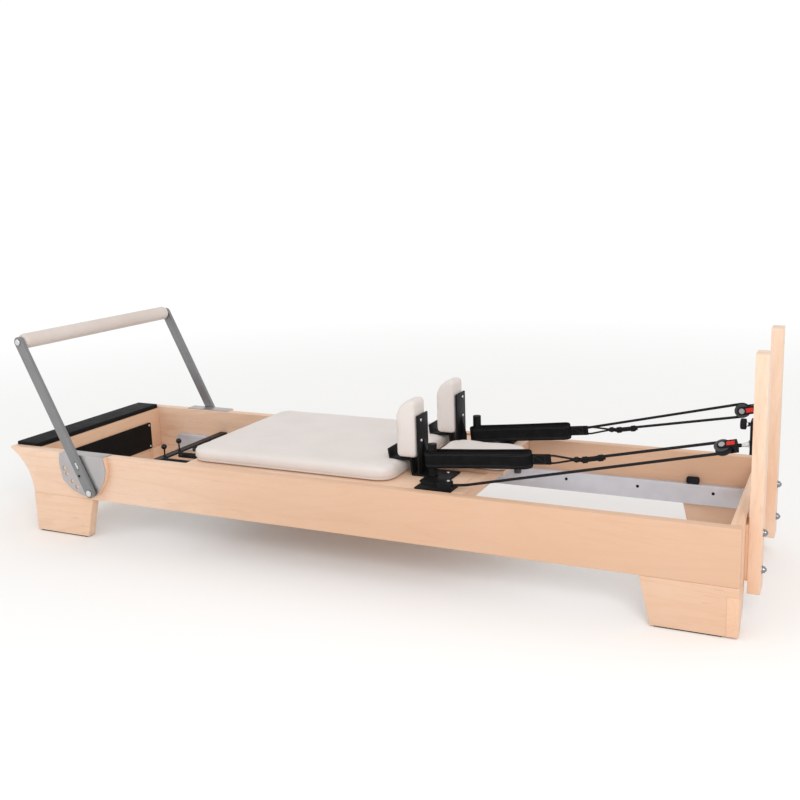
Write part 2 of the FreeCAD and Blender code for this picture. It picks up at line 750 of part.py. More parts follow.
face_x = tip + shoulder_x
front_x = face_x - shoulder_depth
peg = tip + peg_x
cleat = tip + cleat_x
shoulder_mid = shoulder_inner + shoulder_width / 2
screw_heads = []
for name, side in SIDES:
    strip = across(side, shoulder_inner + 6, shoulder_inner + shoulder_width - 6)
    band = pad("XZ", [
        (front_x - 28, shoulder_seat + 31), (front_x - 23, shoulder_seat + 31),
        (front_x - 18, shoulder_seat + 5), (face_x - 20, shoulder_seat + 5), (face_x - 14, base_z),
        (peg + 60, base_z), (peg + 60, deck_top), (face_x - 20, deck_top), (face_x - 26, shoulder_seat),
        (front_x - 23, shoulder_seat),
    ], strip)
    wing = block((peg - 20, peg + 60), across(side, shoulder_inner + shoulder_width - 6, cleat_rope_y - 36),
                 (deck_top, base_z))
    gusset = pad("XZ", [
        (face_x + plate_thick + gap, base_z), (peg - 25, base_z), (peg - 25, base_z + 40),
        (face_x + plate_thick + gap, base_z + 100),
    ], across(side, shoulder_mid - 3, shoulder_mid + 3))
    node("shoulder_brackets", fused(band, wing, gusset))

    back_plate = block((face_x, face_x + plate_thick), strip, (base_z + gap, shoulder_top - 48))
    node("shoulder_plates", back_plate)
    rest = pad("XZ", [
        (front_x, shoulder_seat + 5 + gap), (face_x - gap, shoulder_seat + 5 + gap),
        (face_x - gap, shoulder_top - 8), (face_x - 10, shoulder_top), (face_x - 30, shoulder_top - 2),
        (front_x + 14, shoulder_top - 21), (front_x, shoulder_top - 48),
    ], across(side, shoulder_inner, shoulder_inner + shoulder_width))
    node("shoulder_pads", rest)
    for z in (shoulder_top - 64, shoulder_top - 126):
        screw_heads.append(rod("x", (face_x + plate_thick, (shoulder_mid + 14) * side, z), 3, 5))
    screw_heads.append(rod("z", (peg + 30, (shoulder_mid - 12) * side, base_z), 4, 6))

    node("strap_pegs", fused(
        rod("z", (peg, peg_y * side, base_z), peg_top - base_z, peg_radius),
        rod("z", (peg, peg_y * side, base_z), 5, peg_radius + 2)))

    cleat_base = block((cleat, cleat + cleat_length),
                       across(side, cleat_rope_y - 32, cleat_rope_y + 26), (deck_top, deck_top + cleat_thick))
    cheek = block((cleat + cleat_length - 42, cleat + cleat_length - 2),
                  across(side, cleat_rope_y + rope_radius + gap, cleat_rope_y + rope_radius + gap + 15),
                  (deck_top + cleat_thick, deck_top + cleat_thick + cam_height + 2))
    cam_y = cleat_rope_y - rope_radius - gap - cam_radius
    cam_x = cleat + cleat_length - 24
    cam_pin = rod("z", (cam_x, cam_y * side, deck_top + cleat_thick), cam_height + 3, 3)
    guide_rod = rod("x", (cleat + 4, (cleat_rope_y - 12) * side, deck_top + cleat_thick + 2), 46, 3)
    node("rope_cleats", fused(cleat_base, cheek, cam_pin, guide_rod))
    cam = rod("z", (cam_x, cam_y * side, deck_top + cleat_thick + gap), cam_height, cam_radius)
    cam_bore = rod("z", (cam_x, cam_y * side, deck_top + cleat_thick), cam_height + 1, 3 + running_gap)
    node("rope_cams", cut(cam, cam_bore))
node("shoulder_screws", grouped(*screw_heads))

# ---------------------------------------------------------------- pulleys on the risers

pitch_turn = Rotation(Vector(0, 1, 0), -rope_slope)
block_tilt = {"left": 0, "right": right_block_tilt.value}
slope_x = math.cos(math.radians(rope_slope))
slope_z = math.sin(math.radians(rope_slope))
swivel_length = (riser_x.value - 2 - tip.value - pulley_x.value) / slope_x
pulley_turn = {}
knob_z = pulley_z + knob_rise
for name, side in SIDES:
    turn = pitch_turn * Rotation(Vector(1, 0, 0), block_tilt[name])
    pulley_turn[name] = turn
    spot = (tip + pulley_x, pulley_y * side, pulley_z)
    cheek_y = sheave_half + cheek_gap
    cheeks = [pad("XZ", [(0, -12), (neck_reach, -12), (neck_reach, 12), (0, 12, 12), (-12, 0, 12)],
                  across(y, cheek_y, cheek_y + cheek_thick)) for y in (1, -1)]
    neck = block((neck_reach - 10, neck_reach), (-cheek_y - 1, cheek_y + 1), (-12, 12))
    stub = rod("x", (neck_reach, 0, 0), 8, 5)
    axle = rod("y", (0, -cheek_y - cheek_thick - 1, 0), (cheek_y + cheek_thick + 1) * 2, 4)
    node(f"pulley_block_{name}", place(fused(*cheeks, neck, stub, axle), *spot, turn))

    wheel = rod("y", (0, -sheave_half, 0), sheave_half * 2, sheave_radius)
    ring = cut(rod("y", (0, 2 - sheave_half, 0), sheave_half * 2 - 4, sheave_radius + 1),
               rod("y", (0, 1 - sheave_half, 0), sheave_half * 2 - 2, sheave_radius - groove_depth))
    bore = rod("y", (0, -sheave_half - 1, 0), sheave_half * 2 + 2, 4 + running_gap)
    node(f"sheave_{name}", place(cut(wheel, ring, bore), *spot, turn))

    shank = doc.addObject("Part::Cylinder", "shank")
    bind(shank, "Radius", 4)
    shank.Height = swivel_length - neck_reach.value - 8 - gap.value
    turned = Rotation(Vector(0, 1, 0), 90 - rope_slope)
    start = Vector(tip.value + pulley_x.value, pulley_y.value * side, pulley_z.value)
    start += Vector(slope_x, 0, slope_z) * (neck_reach.value + 8 + gap.value)
    place(shank, start.x, start.y, start.z, turned)
    slider = block((riser_x - mount_plate, riser_x), across(side, bolt_y - 20, bolt_y + 20), slider_z)
    knob_hole = rod("x", (riser_x - mount_plate, bolt_y * side, knob_z), mount_plate, 4 + gap)
    node("pulley_sliders", cut(fused(slider, shank), knob_hole))

    knob = fused(
        rod("x", (riser_x - mount_plate - 26, bolt_y * side, knob_z), 16, knob_radius),
        rod("x", (riser_x - mount_plate - 12, bolt_y * side, knob_z), mount_plate + 11, 4))
    node(f"pulley_knob_{name}", knob)

# ---------------------------------------------------------------- hand straps and ropes

hang = {"left": strap_hang_left, "right": strap_hang_right}
rise_share = {"left": strap_rise_left, "right": strap_rise_right}
for name, side in SIDES:
    start = Vector(peg.value, peg_y.value * side, hang[name].value)
    rise = (pulley_z - hang[name]) / (pulley_x - peg_x) * rise_share[name]
    knot = Vector(tip.value + knot_x.value, knot_y.value * side,
                  start.z + (rise * (knot_x - peg_x)).value)
    along = (knot - start).normalize()
    turn = Rotation(Vector(1, 0, 0), along)
    outer = loop_inner + loop_thick
    band = cut(
        pad("XY", rounded((-outer, loop_length), (-outer, outer), outer - 1),
            (-loop_height / 2, loop_height / 2)),
        pad("XY", rounded((-loop_inner, loop_length - loop_thick), (-loop_inner, loop_inner), loop_inner - 1),
            (-loop_height / 2 - 1, loop_height / 2 + 1)))
    node("hand_straps", place(band, start.x, start.y, start.z, turn))
    tab = block((loop_length + gap, loop_length + web_length), (-web_thick / 2, web_thick / 2),
                (-web_height / 2, web_height / 2))
    node("hand_straps", place(grouped(tab), start.x, start.y, start.z, turn))

    leg_start = start + along * (loop_length.value + web_length.value + gap.value + 3)
    up = turn.multVec(Vector(0, 0, 1))
    legs = []
    for reach in (1, -1):
        foot = leg_start + up * (reach * (web_height.value / 2 - 4))
        legs.append(Part.makeCylinder(3, (knot - foot).Length, foot, knot - foot))
    bundle = Part.makeSphere(knot_radius.value, knot).multiFuse(legs).removeSplitter()
    yoke = doc.addObject("Part::Feature", "yoke")
    yoke.Shape = bundle
    node("ropes", yoke)

    centre = Vector(tip.value + pulley_x.value, pulley_y.value * side, pulley_z.value)
    back = pulley_turn[name].multVec(Vector(1, 0, 0))
    lift = pulley_turn[name].multVec(Vector(0, 0, 1))
    wrap = sheave_radius.value - 1.5
    top = centre + back * wrap + lift * wrap
    low = centre + back * wrap - lift * wrap
    first, second = (top, low) if name == "right" else (low, top)
    leave = knot + (first - knot).normalize() * (knot_radius.value + 0.5)
    cleat_end = Vector(tip.value + cleat_rope_x.value, cleat_rope_y.value * side, cleat_rope_z.value)
    tail = Vector(cleat.value + cleat_length.value - 52, cleat_rope_y.value * side,
                  deck_top.value + cleat_thick.value + 7)
    route = [leave, first, second, cleat_end, tail]
    cord = doc.addObject("Part::Feature", "cord")
    cord.Shape = tube(route, rope_radius.value, (wrap * 0.95, wrap * 0.95, 120))
    node("ropes", cord)

# ---------------------------------------------------------------- checks and files

subparts = []
for name, solids in pieces.items():
    subpart = solids[0] if len(solids) == 1 else grouped(*solids)
    subpart.Label = name
    subparts.append(subpart)
doc.recompute()

faults = [f"{o.Label}: {o.State}" for o in doc.Objects if {"Invalid", "Error"} & set(o.State)]
for subpart in subparts:
    shape = subpart.Shape
    if shape.isNull() or not shape.isValid() or not shape.Solids:
        faults.append(f"{subpart.Label}: shape is null, invalid or has no solid")
if faults:
    raise SystemExit("\n".join(faults))
for subpart in subparts:
    subpart.Shape.exportStep(f"parts/{subpart.Label}.step")
    box = subpart.Shape.BoundBox
    print(f"{subpart.Label:22s} x {box.XMin:8.1f} {box.XMax:8.1f}  y {box.YMin:7.1f} {box.YMax:7.1f}"
          f"  z {box.ZMin:6.1f} {box.ZMax:6.1f}  solids {len(subpart.Shape.Solids)}")
print(len(subparts), "nodes")
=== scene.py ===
import json
import math
import bmesh
import bpy
from mathutils import Matrix, Vector
from mathutils.bvhtree import BVHTree

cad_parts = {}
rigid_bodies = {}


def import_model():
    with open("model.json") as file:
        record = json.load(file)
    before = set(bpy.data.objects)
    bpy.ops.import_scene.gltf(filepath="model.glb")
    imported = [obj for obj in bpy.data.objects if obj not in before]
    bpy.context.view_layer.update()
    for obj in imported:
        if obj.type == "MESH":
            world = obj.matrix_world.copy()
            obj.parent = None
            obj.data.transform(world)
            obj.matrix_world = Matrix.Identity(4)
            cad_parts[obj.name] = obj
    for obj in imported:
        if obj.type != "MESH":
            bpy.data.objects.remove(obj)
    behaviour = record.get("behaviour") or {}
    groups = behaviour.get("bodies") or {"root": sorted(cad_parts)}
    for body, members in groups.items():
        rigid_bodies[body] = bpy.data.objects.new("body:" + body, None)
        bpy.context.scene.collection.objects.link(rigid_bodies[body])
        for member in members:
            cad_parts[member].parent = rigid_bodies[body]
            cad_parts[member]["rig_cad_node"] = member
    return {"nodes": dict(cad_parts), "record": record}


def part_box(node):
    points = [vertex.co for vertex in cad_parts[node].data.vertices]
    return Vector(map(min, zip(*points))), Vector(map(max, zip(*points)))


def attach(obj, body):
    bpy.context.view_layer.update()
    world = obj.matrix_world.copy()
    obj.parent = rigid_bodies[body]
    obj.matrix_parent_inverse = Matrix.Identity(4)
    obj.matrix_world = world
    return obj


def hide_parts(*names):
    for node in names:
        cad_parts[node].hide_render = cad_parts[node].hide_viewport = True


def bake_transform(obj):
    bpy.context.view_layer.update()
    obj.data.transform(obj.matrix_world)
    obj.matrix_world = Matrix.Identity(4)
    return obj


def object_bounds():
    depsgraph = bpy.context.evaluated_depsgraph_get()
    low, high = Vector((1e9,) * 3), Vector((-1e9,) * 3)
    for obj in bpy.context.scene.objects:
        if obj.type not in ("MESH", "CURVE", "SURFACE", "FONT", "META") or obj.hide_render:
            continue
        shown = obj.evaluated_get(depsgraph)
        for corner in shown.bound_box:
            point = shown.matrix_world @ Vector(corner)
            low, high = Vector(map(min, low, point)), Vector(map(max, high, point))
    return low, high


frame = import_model()
cad_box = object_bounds()

# ---------------------------------------------------------------- studio
# A white paper sweep under a large softbox on the near side, a weaker one at the foot end and a
# faint one overhead, in an even white surround, so that the shadows on the floor stay soft.

scene = bpy.context.scene
scene.view_settings.view_transform = "Standard"
studio_centre = (cad_box[0] + cad_box[1]) / 2


def placed(name, data):
    """A new object in the scene."""
    made = bpy.data.objects.new(name, data)
    scene.collection.objects.link(made)
    return made


sight = bpy.data.cameras.new("camera")
sight.lens = 43.3
sight.shift_x, sight.shift_y = -0.0575, -0.0356
camera = placed("camera", sight)
yaw, dip, roll = 0.4107, 0.1966, -0.0252
turn = (Matrix.Rotation(yaw, 4, "Z") @ Matrix.Rotation(math.pi / 2 - dip, 4, "X")
        @ Matrix.Rotation(roll, 4, "Z"))
camera.matrix_world = Matrix.Translation((1.408, -2.6507, 1.1428)) @ turn
scene.camera = camera

for name, place, width, power in (("key_softbox", (2.2, -2.9, 2.3), 1.4, 46),
                                  ("foot_softbox", (-2.6, -2.8, 1.6), 1.6, 13),
                                  ("top_softbox", (0.0, 1.2, 3.8), 3.0, 5)):
    light = bpy.data.lights.new(name, "AREA")
    light.size, light.energy = width, power
    aim = (studio_centre - Vector(place)).to_track_quat("-Z", "Y")
    placed(name, light).matrix_world = Matrix.Translation(place) @ aim.to_matrix().to_4x4()


def wire(tree, kind, sockets=(), **props):
    """Add a node; each socket, by name or number, takes a value or another node's output."""
    made = tree.nodes.new(kind)
    for prop, value in props.items():
        setattr(made, prop, value)
    for key, value in dict(sockets).items():
        if isinstance(value, bpy.types.NodeSocket):
            tree.links.new(value, made.inputs[key])
        else:
            made.inputs[key].default_value = value
    return made


def fed(shader, socket, output):
    """Lead an output to a socket of a shader."""
    shader.id_data.links.new(output, shader.inputs[socket])


def finish_of(name, **values):
    """A new material with a principled shader; returns the material, its tree and its shader."""
    made = bpy.data.materials.new(name)
    made.use_nodes = True
    shader = made.node_tree.nodes["Principled BSDF"]
    for key, value in values.items():
        shader.inputs[key.replace("_", " ").title().replace("Ior", "IOR")].default_value = value
    return made, made.node_tree, shader


def on_piece(tree):
    """The place on the piece that is being shaded."""
    return wire(tree, "ShaderNodeTexCoord").outputs["Object"]


def spread(tree, value, low, high, to_low=0.0, to_high=1.0):
    """Map a range onto another one, clamped."""
    sockets = {"Value": value, "From Min": low, "From Max": high, "To Min": to_low, "To Max": to_high}
    return wire(tree, "ShaderNodeMapRange", sockets).outputs[0]


# What the camera sees of the surround is plain white; what lights the machine is weaker and warmer.
plain_white = {"Color": (1, 1, 1, 1), "Strength": 1.05}
surround = bpy.data.worlds.new("surround")
surround.use_nodes = True
tree = surround.node_tree
lit = tree.nodes["Background"]
lit.inputs["Color"].default_value = (1.0, 0.995, 0.985, 1)
lit.inputs["Strength"].default_value = 0.88
seen = wire(tree, "ShaderNodeBackground", plain_white)
ray = wire(tree, "ShaderNodeLightPath")
either = wire(tree, "ShaderNodeMixShader",
              {0: ray.outputs["Is Camera Ray"], 1: lit.outputs[0], 2: seen.outputs[0]})
fed(tree.nodes["World Output"], "Surface", either.outputs[0])
scene.world = surround

# The paper fades to plain white far from the machine, so that it has no edge.
sweep_half, fade_from, fade_to = 14.0, 1.6, 6.0
sweep_mesh = bpy.data.meshes.new("sweep")
sweep_mesh.from_pydata([(x * sweep_half, y * sweep_half, 0) for x, y in ((-1, -1), (1, -1), (1, 1), (-1, 1))],
                       [], [(0, 1, 2, 3)])
sweep = placed("sweep", sweep_mesh)
sweep_paper, tree, shader = finish_of("sweep_paper", roughness=0.9, base_color=(0.93, 0.93, 0.93, 1))
away = wire(tree, "ShaderNodeVectorMath", {0: on_piece(tree)}, operation="LENGTH")
glow = wire(tree, "ShaderNodeEmission", plain_white)
faded = wire(tree, "ShaderNodeMixShader", {0: spread(tree, away.outputs["Value"], fade_from, fade_to),
                                           1: shader.outputs[0], 2: glow.outputs[0]})
fed(tree.nodes["Material Output"], "Surface", faded.outputs[0])
sweep_mesh.materials.append(sweep_paper)

# ---------------------------------------------------------------- ropes
# Two braided black cords, 8 mm thick, from the knot of each hand strap round the pulley and back to
# the cam cleat beside the shoulder rest. The carriage pulls them as it runs; here they stay fixed in place.

SIDES = (("left", 1), ("right", -1))
rope_width, knot_radius, sheave_wrap = 0.008, 0.009, 0.0195
cleat_x, cleat_y, cleat_z = 0.400, 0.268, 0.299
pulley_x, pulley_y, pulley_z = 1.107, 0.210, 0.458
beside_sheave, beside_cleat = 0.048, 0.066
strap_start = {"left": Vector((0.282, 0.178, 0.327)), "right": Vector((0.282, -0.178, 0.343))}
strap_end = {"left": Vector((0.722, 0.200, 0.371)), "right": Vector((0.722, -0.200, 0.387))}
pulley_centre = {name: Vector((pulley_x, side * pulley_y, pulley_z)) for name, side in SIDES}
rope_slope = math.atan2(pulley_z - cleat_z, pulley_x - cleat_x)
block_tilt = {"left": 0.0, "right": math.radians(-58)}
block_turn = {name: Matrix.Rotation(-rope_slope, 3, "Y") @ Matrix.Rotation(block_tilt[name], 3, "X")
              for name, _ in SIDES}
rope_turns = {
    name: [pulley_centre[name] + block_turn[name] @ Vector((sheave_wrap, 0, way * sheave_wrap)) for way in ways]
    for name, ways in (("left", (-1, 1)), ("right", (1, -1)))
}


def as_mesh(name, form, turn_out=True):
    """Make a form a mesh; its faces are turned outwards first, unless they already point that way."""
    if turn_out:
        bmesh.ops.recalc_face_normals(form, faces=form.faces)
    mesh = bpy.data.meshes.new(name)
    form.to_mesh(mesh)
    form.free()
    return mesh


def swept(name, points, outline, closed=False, around=16):
    """A tube; outline(share, angle) is its offset sideways and upwards. The UVs are turn and metres."""
    form = bmesh.new()
    uv = form.loops.layers.uv.new("along")
    count = len(points)
    rings, lengths, run, across = [], [], 0.0, None
    for index, spot in enumerate(points):
        before = points[index - 1] if index or closed else spot
        after = points[(index + 1) % count] if index < count - 1 or closed else spot
        ahead = (after - before).normalized()
        if across is None:
            across = ahead.cross(Vector((0, 0, 1)))
        across = (across - ahead * across.dot(ahead)).normalized()
        above = across.cross(ahead).normalized()
        run += (spot - points[index - 1]).length if index else 0.0
        lengths.append(run)
        offsets = [outline(index / (count - 1), 2 * math.pi * step / around) for step in range(around)]
        rings.append([form.verts.new(spot + across * side + above * up) for side, up in offsets])
    if closed:
        rings.append(rings[0])
        lengths.append(run + (points[0] - points[-1]).length)
    for row, (near, far) in enumerate(zip(rings, rings[1:])):
        for step in range(around):
            after = (step + 1) % around
            face = form.faces.new((near[step], near[after], far[after], far[step]))
            face.smooth = True
            corners = ((step, row), (step + 1, row), (step + 1, row + 1), (step, row + 1))
            for loop, (turned, along) in zip(face.loops, corners):
                loop[uv].uv = (turned / around, lengths[along])
    if not closed:
        form.faces.new(rings[0])
        form.faces.new(rings[-1])
    return as_mesh(name, form)


def owner_of(node):
    """The moving body that a CAD node belongs to."""
    bodies = frame["record"]["behaviour"]["bodies"]
    return next(body for body, nodes in bodies.items() if node in nodes)


def finished(name, mesh, material, stands_for=(), body=None):
    """Put a finished mesh in the scene with its material, its body and the CAD nodes that it replaces."""
    piece = placed(name, mesh)
    if material:
        mesh.materials.clear()
        mesh.materials.append(material)
    if stands_for:
        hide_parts(*stands_for)
    if body != "stretch":
        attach(piece, body or owner_of(stands_for[0]))
    return piece


def stretched(name, mesh, material, node):
    """A piece between the carriage and the pulleys; it is tied to no body and stays fixed in place."""
    piece = finished(name, mesh, material, [node], "stretch")
    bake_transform(piece)
    return piece


def result_of(carrier):
    """What a curve or an object's modifiers make, as a plain mesh."""
    bpy.context.view_layer.update()
    return bpy.data.meshes.new_from_object(carrier.evaluated_get(bpy.context.evaluated_depsgraph_get()))


def smooth_line(name, corners):
    """The points of a smooth spline that is steered by the corners."""
    curve = bpy.data.curves.new(name, "CURVE")
    curve.dimensions = "3D"
    curve.resolution_u = 24
    spline = curve.splines.new("NURBS")
    spline.points.add(len(corners) - 1)
    for point, corner in zip(spline.points, corners):
        point.co = (*corner, 1)
    spline.order_u = 3
    spline.use_endpoint_u = True
    carrier = placed(name, curve)
    line = result_of(carrier)
    points = [v.co.copy() for v in line.vertices]
    bpy.data.objects.remove(carrier)
    bpy.data.curves.remove(curve)
    bpy.data.meshes.remove(line)
    return points


def evenly(points, step):
    """The same line with long runs divided, so that it can bend anywhere."""
    line = [points[0]]
    for start, end in zip(points, points[1:]):
        parts = max(1, round((end - start).length / step))
        line += [start.lerp(end, part / parts) for part in range(1, parts + 1)]
    return line


def figured(tree, operation, *terms):
    """The result of one sum of outputs and numbers."""
    return wire(tree, "ShaderNodeMath", dict(enumerate(terms)), operation=operation).outputs[0]


def noise(tree, where, scale, detail=2.0, **more):
    """A cloudy pattern; more sets other sockets, such as Roughness."""
    return wire(tree, "ShaderNodeTexNoise", {"Vector": where, "Scale": scale, "Detail": detail, **more}).outputs[0]


def mixed(tree, factor, first, second):
    """A blend of two colours; each is a colour or an output."""
    pair = {key: value if isinstance(value, bpy.types.NodeSocket) else (*value, 1)
            for key, value in ((6, first), (7, second))}
    return wire(tree, "ShaderNodeMix", {0: factor, **pair}, data_type="RGBA").outputs[2]


def raised(tree, shader, height, distance):
    """Feed a height into the shader's normal."""
    bump = wire(tree, "ShaderNodeBump", {"Height": height, "Distance": distance, "Strength": 1.0})
    fed(shader, "Normal", bump.outputs[0])


rope_braid, tree, shader = finish_of("rope_braid", roughness=0.8, specular_ior_level=0.12)
along_rope = wire(tree, "ShaderNodeUVMap", uv_map="along").outputs[0]
split = wire(tree, "ShaderNodeSeparateXYZ", {0: along_rope}).outputs
turned = figured(tree, "MULTIPLY", split[0], 4.0)
passed = figured(tree, "MULTIPLY", split[1], 110.0)
strands = [figured(tree, "PINGPONG", figured(tree, way, passed, turned), 0.5) for way in ("ADD", "SUBTRACT")]
weave = figured(tree, "MAXIMUM", *strands)
shade = mixed(tree, spread(tree, weave, 0.2, 0.5), (0.004, 0.004, 0.005), (0.024, 0.024, 0.026))
fuzz = spread(tree, noise(tree, along_rope, 900.0), 0.45, 0.8, 0.0, 0.3)
fed(shader, "Base Color", mixed(tree, fuzz, shade, (0.06, 0.06, 0.063)))
raised(tree, shader, weave, 0.0012)


def round_cord(radius):
    """The outline of a round cord."""
    return lambda share, angle: (radius * math.cos(angle), radius * math.sin(angle))


for name, side in SIDES:
    first, second = rope_turns[name]
    cleat_end = Vector((cleat_x, cleat_y * side, cleat_z))
    tail = Vector((0.334, cleat_y * side, 0.297))
    leave = strap_end[name] + (first - strap_end[name]).normalized() * (knot_radius + 0.0005)
    into_pulley = first + (leave - first).normalized() * beside_sheave
    out_of_pulley = second + (cleat_end - second).normalized() * beside_sheave
    into_cleat = cleat_end + (second - cleat_end).normalized() * beside_cleat
    route = [leave, into_pulley, first, second, out_of_pulley, into_cleat, cleat_end, tail]
    line = smooth_line(f"rope_{name}_line", route)
    spun = swept(f"rope_{name}", evenly(line, 0.012), round_cord(rope_width / 2))
    rope = stretched(f"rope_{name}", spun, rope_braid, "ropes")
    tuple(line[0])


def corded(name, points, radius, around=16):
    """A thinner cord, which moves with the ropes."""
    stretched(name, swept(name, points, round_cord(radius), around=around), rope_braid, "ropes")


def line_of(start, end, share):
    """A point part of the way along."""
    return start + (end - start) * share


# The knot and the two legs that tie each rope to its strap: a thinner cord through the webbing's
# folded end, drawn together and knotted three times round.

legs_start, knot_loops, knot_steps, knot_half = 0.3655, 3, 48, 0.0075
strap_turn = {
    name: Vector((1, 0, 0)).rotation_difference(strap_end[name] - strap_start[name]) for name, _ in SIDES
}
for name, side in SIDES:
    along = (strap_end[name] - strap_start[name]).normalized()
    upward = strap_turn[name] @ Vector((0, 0, 1))
    sideways = along.cross(upward)
    for leg, way in (("upper", 1), ("lower", -1)):
        foot = strap_start[name] + along * legs_start + upward * (0.011 * way)
        corners = [foot - along * 0.006 - upward * (0.006 * way), foot + upward * (0.0015 * way),
                   line_of(foot, strap_end[name], 0.4) + upward * (0.001 * way), strap_end[name]]
        corded(f"yoke_{leg}_{name}", smooth_line("yoke_line", corners), 0.0028)
    turns = []
    for step in range(knot_steps + 1):
        angle = 2 * math.pi * knot_loops * step / knot_steps
        swell = 0.0052 * math.sin(math.pi * (0.12 + 0.76 * step / knot_steps))
        run = 2 * knot_half * step / knot_steps - knot_half
        turns.append(strap_end[name] + along * run
                     + (upward * math.cos(angle) + sideways * math.sin(angle)) * swell)
    corded(f"knot_{name}", turns, 0.0036)

# Each rope's end is doubled back beyond the knot and bound to the rope with whipping.

tail_drops = ((0.004, 0.001), (0.012, 0.0058), (0.022, 0.0068), (0.045, 0.0068), (0.066, 0.0066),
              (0.080, 0.0060))
band_starts, band_turns, band_steps, band_pitch = (0.016, 0.060), 7, 14, 0.0020
for name, side in SIDES:
    ahead = (rope_turns[name][0] - strap_end[name]).normalized()
    under = ahead.cross(Vector((0, 1, 0))).normalized()
    if under.z > 0:
        under = -under
    doubled = [strap_end[name] + ahead * along + under * drop for along, drop in tail_drops]
    corded(f"rope_tail_{name}", evenly(smooth_line("tail_line", doubled), 0.006), 0.0034)
    for band, start in enumerate(band_starts):
        coils = []
        for step in range(band_turns * band_steps + 1):
            angle = 2 * math.pi * step / band_steps
            run = start + band_pitch * step / band_steps
            middle = strap_end[name] + ahead * run + under * 0.0033
            coils.append(middle + Vector((0, 1, 0)) * (0.0055 * math.cos(angle))
                         + under * (0.0085 * math.sin(angle)))
        corded(f"whipping_{band}_{name}", coils, 0.0011, around=8)

# ---------------------------------------------------------------- hand straps
# Padded loops of black neoprene-backed webbing, 48 mm wide, hung over the pegs, with two rows of
# stitching along each edge, and a narrower folded tab of plain webbing that takes the rope.

loop_long, loop_half, loop_tall, loop_sag = 0.312, 0.019, 0.048, 0.0035
run_steps, turn_steps = 24, 14


def soft_bar(thick, tall):
    """The outline of a padded strap: a rectangle with soft corners."""
    def outline(share, angle):
        side, up = math.cos(angle), math.sin(angle)
        return (math.copysign(abs(side) ** 0.4, side) * thick / 2, math.copysign(abs(up) ** 0.4, up) * tall / 2)
    return outline


def loop_path(name, inset=0.0, up=0.0):
    """The closed middle line of a strap loop: a sagging run, a round end, the run back and an end."""
    half = loop_half + inset
    far = loop_long - 0.003 - loop_half
    shares = [step / run_steps for step in range(run_steps + 1)]
    run = [(far * share, half - loop_sag * math.sin(math.pi * share)) for share in shares]
    angles = [math.pi * step / turn_steps for step in range(1, turn_steps)]
    end = [(half * math.sin(angle), half * math.cos(angle)) for angle in angles]
    flat = (run + [(far + x, y) for x, y in end] + [(x, -y) for x, y in reversed(run)]
            + [(-x, -y) for x, y in end])
    return [strap_start[name] + strap_turn[name] @ Vector((x, y, up)) for x, y in flat]


webbing_weave, tree, shader = finish_of("webbing_weave", roughness=0.85, specular_ior_level=0.07)
along_strap = wire(tree, "ShaderNodeUVMap", uv_map="along")
split = wire(tree, "ShaderNodeSeparateXYZ", {0: along_strap.outputs[0]}).outputs
weft = figured(tree, "SINE", figured(tree, "MULTIPLY", split[1], 2800.0))
warp = figured(tree, "SINE", figured(tree, "MULTIPLY", split[0], 420.0))
basket = figured(tree, "MULTIPLY", weft, warp)
worn = spread(tree, noise(tree, on_piece(tree), 35.0, 4.0), 0.35, 0.75)
dark = mixed(tree, worn, (0.004, 0.004, 0.0045), (0.012, 0.012, 0.013))
fed(shader, "Base Color", mixed(tree, spread(tree, basket, -1.0, 1.0, 0.0, 0.5), dark, (0.024, 0.024, 0.026)))
raised(tree, shader, basket, 0.0004)


def grown(name, tree, base, values):
    """Run a geometry tree on a mesh with named values and keep the result as a plain mesh."""
    carrier = placed(name + "_base", base)
    grower = carrier.modifiers.new("grower", "NODES")
    grower.node_group = tree
    for socket in tree.interface.items_tree:
        if socket.item_type == "SOCKET" and socket.in_out == "INPUT" and socket.name in values:
            grower[socket.identifier] = values[socket.name]
    made = result_of(carrier)
    made.name = name
    bpy.data.objects.remove(carrier)
    return made


def geometry_tree(name, **kinds):
    """An empty geometry tree with a geometry in and out and named inputs, listed by their kind."""
    tree = bpy.data.node_groups.new(name, "GeometryNodeTree")
    tree.interface.new_socket("Geometry", in_out="INPUT", socket_type="NodeSocketGeometry")
    for kind, titles in kinds.items():
        for title in titles.split():
            tree.interface.new_socket(title, in_out="INPUT", socket_type=f"NodeSocket{kind}")
    tree.interface.new_socket("Geometry", in_out="OUTPUT", socket_type="NodeSocketGeometry")
    return tree, tree.nodes.new("NodeGroupInput").outputs


def ended(tree, given, geometry):
    """Close a tree: real geometry, then its material."""
    real = wire(tree, "GeometryNodeRealizeInstances", {0: geometry})
    painted = wire(tree, "GeometryNodeSetMaterial", {"Geometry": real.outputs[0], "Material": given["Finish"]})
    wire(tree, "NodeGroupOutput", {0: painted.outputs[0]})


stitch_tree, given = geometry_tree("stitch_row", Float="Pitch Stitch Thread", Material="Finish")
seam = wire(stitch_tree, "GeometryNodeMeshToCurve", {"Mesh": given["Geometry"]})
marks = wire(stitch_tree, "GeometryNodeCurveToPoints", {"Curve": seam.outputs[0], "Length": given["Pitch"]},
             mode="LENGTH")
thread = wire(stitch_tree, "GeometryNodeMeshCylinder",
              {"Vertices": 6, "Radius": given["Thread"], "Depth": given["Stitch"]})
facing = wire(stitch_tree, "FunctionNodeAlignRotationToVector", {"Vector": marks.outputs["Tangent"]}, axis="Z")
sewn = wire(stitch_tree, "GeometryNodeInstanceOnPoints",
            {"Points": marks.outputs["Points"], "Instance": thread.outputs["Mesh"],
             "Rotation": facing.outputs[0]})
ended(stitch_tree, given, sewn.outputs[0])


